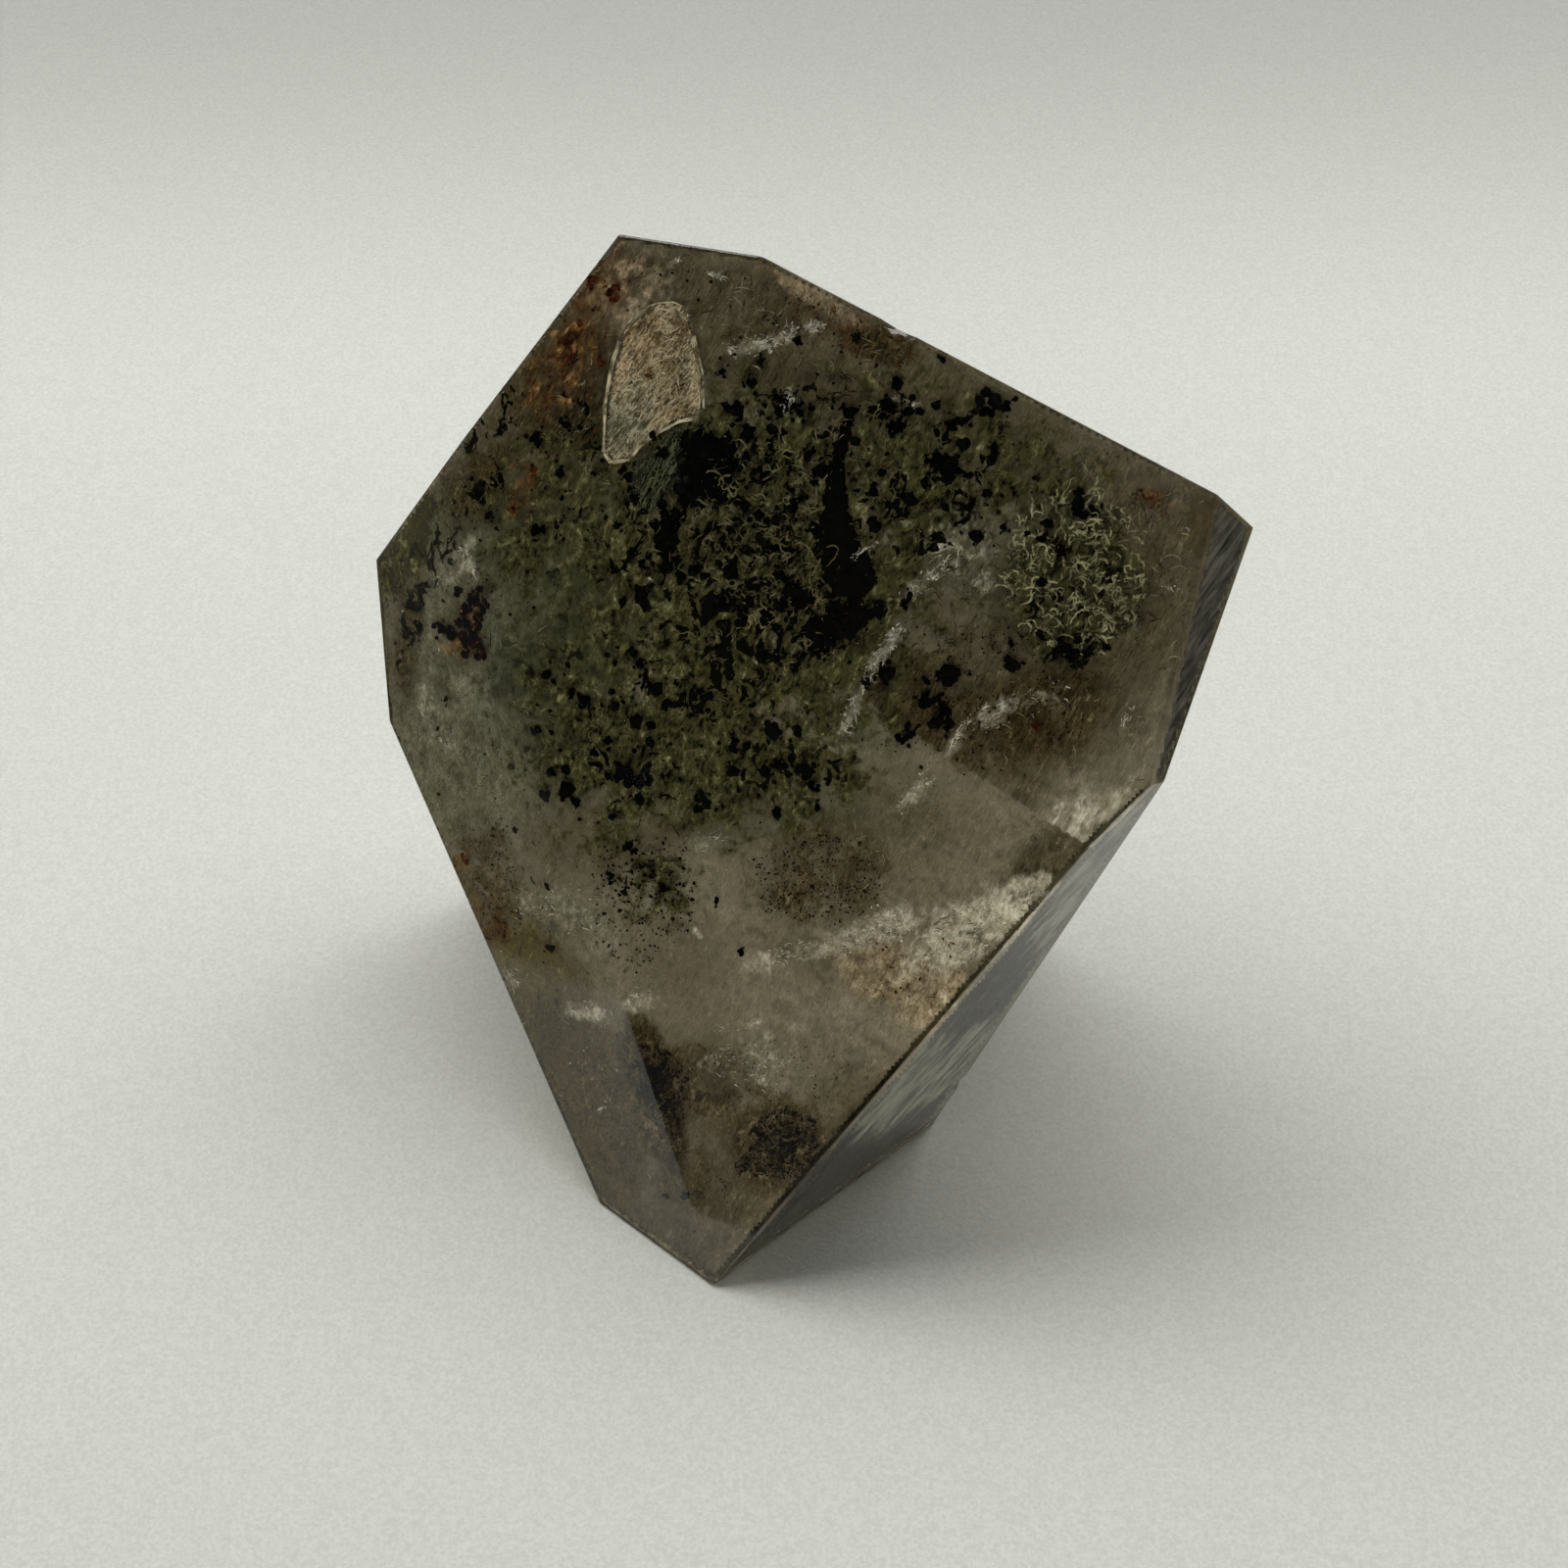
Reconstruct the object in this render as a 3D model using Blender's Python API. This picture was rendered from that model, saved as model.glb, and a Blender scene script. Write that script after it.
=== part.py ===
"""Garden quartz freeform: one smoky, see-through stone, cut flat on every side and polished."""
import math

import bmesh
import bpy
from mathutils import Matrix, Vector

mm = 0.001

# Driving dimensions: the rough block that the stone is cut from.
block_width = 110 * mm
block_depth = 110 * mm
block_height = 90 * mm

# Each facet is a flat cut through the block. heading is the way it faces, in degrees
# anticlockwise from +X seen from above; tilt is how far it leans up from vertical, and a
# negative tilt is an undercut; reach is its distance from the middle of the base.
facets = {
    # the broad front is ground in three nearly level planes that meet in soft ridges
    "front_upper": dict(heading=-112.0, tilt=46.5, reach=43.3 * mm),
    "front_lower": dict(heading=-118.0, tilt=28.5, reach=30.6 * mm),
    "front_left": dict(heading=-129.5, tilt=21.0, reach=29.7 * mm),
    # the right side leans in towards the base, with a narrow facet above it
    "side_right": dict(heading=-49.5, tilt=-13.0, reach=22.3 * mm),
    "side_narrow": dict(heading=-33.0, tilt=16.0, reach=49.3 * mm),
    "side_back_right": dict(heading=-13.0, tilt=-18.0, reach=17.3 * mm),
    # two sloping cuts make the long crown edge
    "crown_left": dict(heading=73.0, tilt=27.0, reach=50.4 * mm),
    "crown_right": dict(heading=51.5, tilt=38.0, reach=57.7 * mm),
    # the left side comes to one blunt corner above mid height
    "side_upper_left": dict(heading=155.5, tilt=30.5, reach=57.7 * mm),
    "side_left": dict(heading=169.5, tilt=-7.0, reach=33.4 * mm),
    "side_lower_left": dict(heading=-164.0, tilt=-17.0, reach=23.2 * mm),
    # the back is two upright cuts over an undercut
    "back_right": dict(heading=54.0, tilt=-3.0, reach=21.0 * mm),
    "back_left": dict(heading=114.0, tilt=-7.0, reach=24.0 * mm),
    "back_lower": dict(heading=84.0, tilt=-38.0, reach=10.0 * mm),
}

# How far each edge is eased back from its corner line. The crown is eased the most.
edge_ease = 0.36 * mm
base_ease = 0.26 * mm
widest_ease = 0.80 * mm
eased_edges = {
    ("front_upper", "crown_right"): 0.80 * mm,
    ("front_upper", "crown_left"): 0.56 * mm,
    ("front_upper", "front_lower"): 0.30 * mm,
    ("front_lower", "front_left"): 0.26 * mm,
    ("front_lower", "side_right"): 0.30 * mm,
    ("side_right", "side_narrow"): 0.26 * mm,
}
ease_segments = 3

# Small shell-shaped chips knocked out of two edges: how far along the edge they sit, the
# radius of the shell, and how deep it bites below the corner line.
chips = {
    "crown_chip": dict(edge=("front_upper", "crown_right"), ends=("crown_left", "side_narrow"),
                       along=0.31, radius=2.3 * mm, bite=1.05 * mm, turn=20.0),
    "side_chip": dict(edge=("side_right", "side_back_right"), ends=("side_narrow", "base"),
                      along=0.86, radius=1.9 * mm, bite=0.62 * mm, turn=55.0),
}

stone_colour = (0.20, 0.21, 0.17, 1.0)
stone_roughness = 0.06
stone_metallic = 0.0


def facet_normal(name):
    if name == "base":
        return Vector((0.0, 0.0, -1.0))
    heading = math.radians(facets[name]["heading"])
    tilt = math.radians(facets[name]["tilt"])
    return Vector((math.cos(tilt) * math.cos(heading),
                   math.cos(tilt) * math.sin(heading),
                   math.sin(tilt)))


def facet_reach(name):
    if name == "base":
        return 0.0
    return facets[name]["reach"]


def corner_point(*names):
    """The point where three facets meet."""
    rows = Matrix([facet_normal(name) for name in names])
    reaches = Vector([facet_reach(name) for name in names])
    return rows.inverted() @ reaches


def rough_block():
    bm = bmesh.new()
    bmesh.ops.create_cube(bm, size=1.0)
    bmesh.ops.scale(bm, vec=(block_width, block_depth, block_height), verts=bm.verts)
    bmesh.ops.translate(bm, vec=(0.0, 0.0, block_height / 2), verts=bm.verts)
    return bm


def grind_facet(bm, name, number, facet_layer):
    """Cut the block with one plane, close the cut and remember which facet it is."""
    normal = facet_normal(name)
    everything = bm.verts[:] + bm.edges[:] + bm.faces[:]
    cut = bmesh.ops.bisect_plane(bm, geom=everything, dist=1e-7, plane_co=normal * facet_reach(name),
                                 plane_no=normal, clear_outer=True)
    rim = [part for part in cut["geom_cut"] if isinstance(part, bmesh.types.BMEdge)]
    closed = bmesh.ops.contextual_create(bm, geom=rim)
    for face in closed["faces"]:
        face[facet_layer] = number


def ease_of(first, second):
    if "base" in (first, second):
        return base_ease
    for pair, width in eased_edges.items():
        if set(pair) == {first, second}:
            return width
    return edge_ease


def mark_eased_edges(bm, names, facet_layer):
    weight = bm.edges.layers.float.new("bevel_weight_edge")
    for edge in bm.edges:
        first, second = [names[face[facet_layer]] for face in edge.link_faces]
        edge[weight] = ease_of(first, second) / widest_ease


def make_stone():
    bm = rough_block()
    facet_layer = bm.faces.layers.int.new("facet")
    names = ["base"] + list(facets)
    for number, name in enumerate(names):
        if name != "base":
            grind_facet(bm, name, number, facet_layer)
    bmesh.ops.recalc_face_normals(bm, faces=bm.faces)
    mark_eased_edges(bm, names, facet_layer)
    mesh = bpy.data.meshes.new("garden_quartz_freeform")
    bm.to_mesh(mesh)
    bm.free()
    stone = bpy.data.objects.new("garden_quartz_freeform", mesh)
    bpy.context.scene.collection.objects.link(stone)

    ease = stone.modifiers.new("eased edges", "BEVEL")
    ease.limit_method = "WEIGHT"
    ease.width = widest_ease
    ease.segments = ease_segments
    ease.profile = 0.5
    ease.use_clamp_overlap = True
    return stone


def make_chip(name, edge, ends, along, radius, bite, turn):
    """A shell-shaped cutter that sits just outside an edge."""
    start = corner_point(*edge, ends[0])
    end = corner_point(*edge, ends[1])
    outward = (facet_normal(edge[0]) + facet_normal(edge[1])).normalized()
    bm = bmesh.new()
    bmesh.ops.create_icosphere(bm, subdivisions=3, radius=radius)
    mesh = bpy.data.meshes.new(name)
    bm.to_mesh(mesh)
    bm.free()
    chip = bpy.data.objects.new(name, mesh)
    bpy.context.scene.collection.objects.link(chip)
    chip.location = start.lerp(end, along) + outward * (radius - bite)
    chip.rotation_euler = (math.radians(turn), math.radians(turn * 0.7), 0.0)
    chip.hide_render = True
    chip.display_type = "WIRE"
    return chip


def cut_chip(stone, chip):
    boolean = stone.modifiers.new(chip.name, "BOOLEAN")
    boolean.operation = "DIFFERENCE"
    boolean.solver = "EXACT"
    boolean.object = chip


def stand_on_origin(stone, cutters):
    """Move the stone so that the middle of its outline is over the origin, base on the ground."""
    bpy.context.view_layer.update()
    shape = stone.evaluated_get(bpy.context.evaluated_depsgraph_get())
    points = [vertex.co for vertex in shape.data.vertices]
    low = Vector([min(point[axis] for point in points) for axis in range(3)])
    high = Vector([max(point[axis] for point in points) for axis in range(3)])
    shift = Vector((-(low.x + high.x) / 2, -(low.y + high.y) / 2, -low.z))
    stone.data.transform(Matrix.Translation(shift))
    for cutter in cutters:
        cutter.location += shift
    return shift


def stone_material():
    material = bpy.data.materials.new("smoky garden quartz")
    material.use_nodes = True
    surface = material.node_tree.nodes["Principled BSDF"]
    surface.inputs["Base Color"].default_value = stone_colour
    surface.inputs["Roughness"].default_value = stone_roughness
    surface.inputs["Metallic"].default_value = stone_metallic
    material.diffuse_color = stone_colour
    return material


def main():
    for old in list(bpy.data.objects):
        bpy.data.objects.remove(old, do_unlink=True)
    stone = make_stone()
    stone.data.materials.append(stone_material())
    cutters = [make_chip(name, **settings) for name, settings in chips.items()]
    for cutter in cutters:
        cut_chip(stone, cutter)
    shift = stand_on_origin(stone, cutters)
    print("moved by (mm):", [round(value / mm, 4) for value in shift])


main()
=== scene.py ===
import math

import bpy
import numpy as np
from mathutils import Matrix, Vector, noise
from mathutils.bvhtree import BVHTree


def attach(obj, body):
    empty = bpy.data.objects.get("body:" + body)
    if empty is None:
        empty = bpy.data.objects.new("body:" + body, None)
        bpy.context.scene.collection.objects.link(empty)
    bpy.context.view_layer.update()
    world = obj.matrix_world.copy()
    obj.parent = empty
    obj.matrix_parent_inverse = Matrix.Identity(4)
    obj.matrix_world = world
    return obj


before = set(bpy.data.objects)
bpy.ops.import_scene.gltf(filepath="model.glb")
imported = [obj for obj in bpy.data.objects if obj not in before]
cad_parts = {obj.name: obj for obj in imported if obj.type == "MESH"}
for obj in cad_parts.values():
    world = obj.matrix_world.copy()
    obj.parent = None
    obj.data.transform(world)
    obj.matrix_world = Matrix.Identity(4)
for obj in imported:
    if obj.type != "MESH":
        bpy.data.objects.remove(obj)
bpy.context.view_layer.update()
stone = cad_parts["garden_quartz_freeform"]
mm = 0.001

view = {
    "place": (-0.000911, -0.158726, 0.20835),  # metres, in the stone's own frame
    "lookDown": 48.0,  # degrees below level
    "field": 34.0,  # degrees across the square picture
    "picture": 1600,  # the side of the picture that places are given in
}
lookDown = math.radians(view["lookDown"])
forward = (0.0, math.cos(lookDown), -math.sin(lookDown))  # the camera's own directions
upward = (0.0, math.sin(lookDown), math.cos(lookDown))
right = (1.0, 0.0, 0.0)

quartzBend = 1.544  # how strongly quartz bends light
heart = Vector((0.0, 0.003, 0.036))  # a point well inside
broadest = 20 * mm * mm  # faces below this area are eased edges and chips
frontNormal = Vector((-0.335, -0.682, 0.650)).normalized()  # the three front planes taken as one
frontWays = [Vector(w).normalized() for w in ((0.897, -0.441, 0.0), (0.286, 0.583, 0.760))]  # along it
upperFrontWay = Vector((-0.258, -0.638, 0.725))  # roughly how the upper front faces

hull = BVHTree.FromPolygons([v.co for v in stone.data.vertices], [p.vertices for p in stone.data.polygons])
broadFaces = [p for p in stone.data.polygons if p.area > broadest]
faceNormals = np.array([p.normal for p in broadFaces])
faceReach = np.array([p.normal.dot(p.center) for p in broadFaces])
upperFront = max((p.normal for p in broadFaces), key=lambda n: n.dot(upperFrontWay))
upperReach = max(v.co.dot(upperFront) for v in stone.data.vertices)


def sight(px, py):
    # the direction of the line of sight through a place in the picture
    half = view["picture"] / 2
    wide = math.tan(math.radians(view["field"] / 2))
    across = Vector(right) * ((px - half) / half * wide)
    up = Vector(upward) * ((half - py) / half * wide)
    return (Vector(forward) + across + up).normalized()


def bend(ray, normal):
    # the way the line of sight goes on inside the stone
    ratio = 1 / quartzBend
    facing = -ray.dot(normal)
    straight = math.sqrt(1 - ratio * ratio * (1 - facing * facing))
    return (ratio * ray + (ratio * facing - straight) * normal).normalized()


def wayIn(px, py, even=True):
    # where the line of sight meets the stone, and its direction inside; even ignores the soft ridges
    ray = sight(px, py)
    place, normal, _, _ = hull.ray_cast(Vector(view["place"]), ray)
    if place is None:
        return None
    return place, bend(ray, frontNormal if even else normal)


def goIn(place, way, depth):
    # a point on the way into the stone; near a thin edge it stays short of the far side
    least, start, share = 0.35 * mm, 0.2 * mm, 0.8
    far = hull.ray_cast(place + way * start, way)[3] or 0.0
    depth = max(depth, least)
    return place + way * (depth / (1 + depth / max(share * far, 0.1 * mm)))


def roomAhead(start, way, margin=0.0):
    # how far it is from a point inside to the first broad face, along a direction
    ahead = faceNormals @ way
    towards = ahead > 1e-6
    return ((faceReach - faceNormals @ start - margin)[towards] / ahead[towards]).min()


def keepIn(points, margin):
    # push anything that comes too near a face back into the stone
    points = np.asarray(points, float).copy()
    for _ in range(3):
        gap = faceReach[None, :] - points @ faceNormals.T
        worst = gap.argmin(axis=1)
        short = np.maximum(margin - gap[np.arange(len(points)), worst], 0)
        points -= faceNormals[worst] * short[:, None]
    return points


def addPiece(name, points, faces, finish, marks=None, smooth=True):
    mesh = bpy.data.meshes.new(name)
    mesh.from_pydata([tuple(p) for p in points], [], [tuple(f) for f in faces])
    mesh.update()
    for mark, values in (marks or {}).items():
        mesh.attributes.new(mark, "FLOAT", "POINT").data.foreach_set("value", np.asarray(values, np.float32))
    if smooth:
        mesh.shade_smooth()
    piece = bpy.data.objects.new(name, mesh)
    bpy.context.scene.collection.objects.link(piece)
    mesh.materials.append(finish.material)
    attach(piece, "root")
    print("made", name, "with", sum(len(f) - 2 for f in faces), "triangles")


class Heap:  # many small shapes gathered into one mesh
    def __init__(self):
        self.points = []
        self.faces = []
        self.marks = {"fade": []}
        self.count = 0

    def add(self, points, faces, **marks):
        self.points.append(np.asarray(points, float))
        self.faces += [tuple(i + self.count for i in face) for face in faces]
        for name in set(self.marks) | set(marks):
            if name not in self.marks:
                self.marks[name] = [np.zeros(self.count)]
            value = np.asarray(marks.get(name, 1.0 if name == "fade" else 0.0), float)
            self.marks[name].append(np.broadcast_to(value, len(points)))
        self.count += len(points)

    def piece(self, name, finish, margin=0.3 * mm, smooth=True):
        points = keepIn(np.concatenate(self.points), margin)
        marks = {mark: np.concatenate(values) for mark, values in self.marks.items()}
        addPiece(name, points, self.faces, finish, marks, smooth)


def addTube(heap, path, width, sides=5):
    # a thread along a path, thinner at both ends
    path = np.asarray(path, float)
    along = np.gradient(path, axis=0)
    along /= np.linalg.norm(along, axis=1)[:, None] + 1e-12
    side = np.cross(along, (0.31, 0.52, 0.79))
    side /= np.linalg.norm(side, axis=1)[:, None] + 1e-12
    other = np.cross(along, side)
    turns = np.arange(sides) * 2 * math.pi / sides
    taper = np.sin(np.linspace(0.12, 0.88, len(path)) * math.pi) ** 0.5
    ring = side[:, None, :] * np.cos(turns)[None, :, None]
    ring = ring + other[:, None, :] * np.sin(turns)[None, :, None]
    points = path[:, None, :] + ring * (width / 2 * taper)[:, None, None]
    faces = []
    for i in range(len(path) - 1):
        for k in range(sides):
            a, b = i * sides + k, i * sides + (k + 1) % sides
            faces.append((a, b, b + sides, a + sides))
    faces.append(tuple(range(sides))[::-1])
    faces.append(tuple((len(path) - 1) * sides + k for k in range(sides)))
    heap.add(points.reshape(-1, 3), faces)


def ballShape():
    # the twenty-sided ball, split once
    gold = (1 + 5 ** 0.5) / 2
    corners = [(-1, gold, 0), (1, gold, 0), (-1, -gold, 0), (1, -gold, 0), (0, -1, gold), (0, 1, gold),
               (0, -1, -gold), (0, 1, -gold), (gold, 0, -1), (gold, 0, 1), (-gold, 0, -1), (-gold, 0, 1)]
    corners = [np.array(c) / math.hypot(1, gold) for c in corners]
    reach = 1.2  # corners nearer than this share a side
    near = [(i, j, k) for i in range(12) for j in range(i + 1, 12) for k in range(j + 1, 12)
            if all(np.linalg.norm(corners[a] - corners[b]) < reach for a, b in ((i, j), (j, k), (i, k)))]
    points, faces, halves = list(corners), [], {}

    def halfway(a, b):
        key = (min(a, b), max(a, b))
        if key not in halves:
            middle = points[a] + points[b]
            halves[key] = len(points)
            points.append(middle / np.linalg.norm(middle))
        return halves[key]

    def outward(a, b, c):
        return np.dot(np.cross(points[b] - points[a], points[c] - points[a]), points[a]) > 0

    near = [(a, b, c) if outward(a, b, c) else (a, c, b) for a, b, c in near]
    for a, b, c in near:
        ab, bc, ca = halfway(a, b), halfway(b, c), halfway(c, a)
        faces += [(a, ab, ca), (ab, b, bc), (ca, bc, c), (ab, bc, ca)]
    return np.array(points), faces, near


ball, ballFaces, plainBallFaces = ballShape()


def addGrain(heap, rand, place, size, rough=0.35, flat=1.0):
    # a rough lump
    shape = ball * (1 + rough * (rand.random(len(ball))[:, None] * 2 - 1))
    stretch = np.array([1.0, 0.6 + 0.6 * rand.random(), flat * (0.6 + 0.5 * rand.random())])
    turn, _ = np.linalg.qr(rand.normal(size=(3, 3)))
    heap.add(np.asarray(place) + (shape * stretch * size / 2) @ turn, ballFaces)


def addCluster(heap, rand, place, width, grains, spread, sizes, **look):
    # several rough lumps close round a place
    for _ in range(grains):
        near = Vector(rand.normal(size=3) * width * spread)
        addGrain(heap, rand, place + near, width * rand.uniform(*sizes), **look)


def addFlake(heap, rand, place, size, thin=0.0, tip=1.0):
    # a small bent chip of five or six sides; the less it is tipped, the more it lies along the front
    sides = rand.integers(5, 7)
    turns = np.sort(rand.random(sides)) * 2 * math.pi
    reach = size / 2 * (0.6 + 0.5 * rand.random(sides))
    bent = rand.normal(size=sides) * size * 0.06
    shape = np.stack([np.cos(turns) * reach, np.sin(turns) * reach * (1 - thin), bent], 1)
    shape = np.vstack([shape, [[0, 0, size * 0.08]]])
    around = rand.random() * 2 * math.pi
    first = np.array(frontWays[0]) * math.cos(around) + np.array(frontWays[1]) * math.sin(around)
    level = np.stack([np.array(frontNormal), first], 1)
    turn, _ = np.linalg.qr(level + rand.normal(size=(3, 2)) * tip * 0.5)
    way = np.stack([turn[:, 1], np.cross(turn[:, 0], turn[:, 1]), turn[:, 0]])
    heap.add(np.asarray(place) + shape @ way, [(i, (i + 1) % sides, sides) for i in range(sides)])


def curl(rand, start, steps, stride, turning, normal, run=None, spread=0.3):
    # a wandering thread that stays near one depth; run is its first direction in the picture, in degrees
    normal = Vector(normal).normalized()
    first = (Vector((1, 0, 0)) - normal * normal.x).normalized()
    second = first.cross(normal)
    angle = rand.random() * 2 * math.pi if run is None else math.radians(run) + rand.normal() * spread
    lean = rand.normal() * turning * 0.6
    path, place = [], Vector(start)
    for _ in range(steps):
        path.append(tuple(place))
        angle += lean + rand.normal() * turning
        level = first * math.cos(angle) + second * math.sin(angle)
        place = place + (level + normal * rand.normal() * 0.35) * stride
    return path


def within(px, py, outline):
    # is a place in the picture inside a closed outline?
    found = False
    for (ax, ay), (bx, by) in zip(outline, outline[1:] + outline[:1]):
        if (ay > py) != (by > py) and px < (bx - ax) * (py - ay) / (by - ay) + ax:
            found = not found
    return found


def edgeGap(px, py, outline):
    # how far a place in the picture is from an outline
    best = 1e9
    for (ax, ay), (bx, by) in zip(outline, outline[1:] + outline[:1]):
        length = (bx - ax) ** 2 + (by - ay) ** 2
        t = max(0.0, min(1.0, ((px - ax) * (bx - ax) + (py - ay) * (by - ay)) / length))
        best = min(best, math.hypot(px - ax - t * (bx - ax), py - ay - t * (by - ay)))
    return best


def oval(px, py, cx, cy, rx, ry, turn=0.0, strength=1.0, soft=1.2):
    # strength in the middle of an oval of the picture, falling to 0 round its edge
    turn = math.radians(turn)
    across = ((px - cx) * np.cos(turn) + (py - cy) * np.sin(turn)) / rx
    down = ((py - cy) * np.cos(turn) - (px - cx) * np.sin(turn)) / ry
    part = np.clip((1 + soft / 2 - np.hypot(across, down)) / soft, 0, 1)
    return strength * part * part * (3 - 2 * part)


def ovals(px, py, settings):
    # the strongest of several ovals at each place
    return np.max([oval(px, py, *each) for each in settings], axis=0)


def addSheet(heap, outline, depth, step, soft, ripple=0.0, rippleSize=1.0, seed=0.0, marks=None, even=True):
    # a sheet that fills an outline of the picture, at a depth below the face; its points are step apart
    # in the picture, and its fade falls to 0 at the outline over soft
    xs = np.arange(min(p[0] for p in outline), max(p[0] for p in outline) + step, step)
    ys = np.arange(min(p[1] for p in outline), max(p[1] for p in outline) + step, step)
    index, points, fade, upper, places = {}, [], [], [], []
    for i, px in enumerate(xs):
        for j, py in enumerate(ys):
            if not within(px, py, outline):
                continue
            found = wayIn(px, py, even)
            if found is None:
                continue
            place, way = found
            here = depth(px, py, place) if callable(depth) else depth
            if ripple:
                here += ripple * noise.fractal(place / rippleSize + Vector((seed, 0, seed)), 0.6, 2.0, 4)
            index[i, j] = len(points)
            points.append(tuple(goIn(place, way, here)))
            fade.append(min(1.0, edgeGap(px, py, outline) / soft))
            upper.append(float(upperFront.dot(place) > upperReach - 0.05 * mm))
            places.append((px, py))
    faces = []
    for i, j in index:
        corners = [(i, j), (i + 1, j), (i + 1, j + 1), (i, j + 1)]
        if all(c in index for c in corners):
            faces.append([index[c] for c in corners])
    px, py = np.array(places).T
    values = {name: ovals(px, py, each) for name, each in (marks or {}).items()}
    sides = {"upper": np.array(upper), "lower": 1 - np.array(upper)}
    for name in [name for name in values if name[:5] in sides]:  # these stop at the upper front's ridge, painting a step of light and shade between its two facets
        kind = name[5:].lower()
        values[kind] = np.maximum(values[kind], values.pop(name) * sides[name[:5]])
    heap.add(points, faces, fade=fade, **values)


class Wire:  # one value in a finish, which can be used in sums
    def __init__(self, finish, socket):
        self.finish = finish
        self.socket = socket

    def sum(self, operation, first, second):
        return self.finish.node("ShaderNodeMath", {"operation": operation}, {0: first, 1: second})

    def __add__(self, other):
        return self.sum("ADD", self, other)

    def __radd__(self, other):
        return self.sum("ADD", other, self)

    def __sub__(self, other):
        return self.sum("SUBTRACT", self, other)

    def __rsub__(self, other):
        return self.sum("SUBTRACT", other, self)

    def __mul__(self, other):
        return self.sum("MULTIPLY", self, other)

    def __rmul__(self, other):
        return self.sum("MULTIPLY", other, self)


class Finish:  # a material and the nodes in it
    def __init__(self, name, plain):
        self.material = bpy.data.materials.new(name)
        self.material.use_nodes = True
        self.material.diffuse_color = (*plain, 1.0)
        self.tree = self.material.node_tree
        self.tree.nodes.clear()
        self.places = self.node("ShaderNodeTexCoord", output="Object")

    def node(self, kind, settings=None, sockets=None, output=0):
        made = self.tree.nodes.new(kind)
        for key, value in (settings or {}).items():
            if key == "stops":
                stops = made.color_ramp.elements
                while len(stops) < len(value):
                    stops.new(0.5)
                for stop, (place, colour) in zip(stops, value):
                    stop.position = place
                    stop.color = (*colour, 1.0)
            else:
                setattr(made, key, value)
        for key, value in (sockets or {}).items():
            socket = made.inputs[key]
            if isinstance(value, Wire):
                self.tree.links.new(value.socket, socket)
            elif isinstance(value, tuple) and len(value) == 3 and socket.type == "RGBA":
                socket.default_value = (*value, 1.0)
            else:
                socket.default_value = value
        return Wire(self, made.outputs[output])

    def cloud(self, width, detail=4.0, rough=0.6, warp=0.0, at=None):
        # noise whose lumps are about width across
        return self.node("ShaderNodeTexNoise", {}, {"Vector": at or self.places, "Scale": 1 / width,
                                                    "Detail": detail, "Roughness": rough, "Distortion": warp})

    def ramp(self, value, *stops):
        return self.node("ShaderNodeValToRGB", {"stops": stops}, {"Fac": value})

    def along(self, way):
        # how far each place lies along a direction
        return self.node("ShaderNodeVectorMath", {"operation": "DOT_PRODUCT"},
                         {0: self.places, 1: tuple(way)}, "Value")

    def clip(self, value, low, high):
        # 0 below low, 1 above high
        return self.node("ShaderNodeMapRange", {"interpolation_type": "SMOOTHSTEP"},
                         {"Value": value, "From Min": low, "From Max": high})

    def mix(self, part, first, second):
        return self.node("ShaderNodeMix", {"data_type": "RGBA"}, {0: part, 6: first, 7: second}, output=2)

    def mark(self, name="fade"):
        return self.node("ShaderNodeAttribute", {"attribute_name": name}, output="Fac")

    def alongGrain(self, length, turn=62.0, deep=1.0):
        # places drawn out in depth and along the run of the growths, turn degrees up from level
        turn = math.radians(turn)
        run = Vector(right) * math.cos(turn) + Vector(upward) * math.sin(turn)
        ways = (run / length, run.cross(Vector(forward)), Vector(forward) / deep)
        return self.node("ShaderNodeCombineXYZ", {}, dict(enumerate(self.along(way) for way in ways)))

    def bump(self, height, depth, strength=1.0):
        return self.node("ShaderNodeBump", {}, {"Height": height, "Strength": strength, "Distance": depth})

    def body(self, sockets):
        # growths inside the quartz have no shine of their own
        return self.node("ShaderNodeBsdfPrincipled", {}, {"Specular IOR Level": 0.0, **sockets})

    def coat(self, colour, roughness, height, relief, **more):
        bump = self.bump(height, relief)
        return self.body({"Base Color": colour, "Roughness": roughness, "Normal": bump, **more})

    def glow(self, colour):
        # lets light from behind scatter through
        return self.node("ShaderNodeBsdfTranslucent", {}, {"Color": colour})

    def blend(self, part, first, second):
        return self.node("ShaderNodeMixShader", {}, {0: part, 1: first, 2: second})

    def clear(self):
        return self.node("ShaderNodeBsdfTransparent", {}, {"Color": (1.0, 1.0, 1.0)})

    def done(self, surface, volume=None):
        end = self.tree.nodes.new("ShaderNodeOutputMaterial")
        self.tree.links.new(surface.socket, end.inputs["Surface"])
        if volume is not None:
            self.tree.links.new(volume.socket, end.inputs["Volume"])
        return self


quartz = {
    "plain": (0.20, 0.21, 0.17),
    "smoke": (0.76, 0.70, 0.36),
    "thickness": 40.0,
    "roughness": 0.02,
    "shine": 0.5,
    "ripple": dict(width=9 * mm, depth=0.032 * mm, strength=0.4),  # left by the polishing lap
}


def clearQuartz():
    f = Finish("clear smoky quartz", quartz["plain"])
    ripple = quartz["ripple"]
    lap = f.bump(f.cloud(ripple["width"], detail=1.0), ripple["depth"], ripple["strength"])
    surface = f.body({"Base Color": (1.0, 1.0, 1.0), "Roughness": quartz["roughness"], "IOR": quartzBend,
                      "Specular IOR Level": quartz["shine"], "Transmission Weight": 1.0, "Normal": lap})
    smoke = f.node("ShaderNodeVolumeAbsorption", {},
                   {"Color": quartz["smoke"], "Density": quartz["thickness"]})
    return f.done(surface, smoke)


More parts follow.
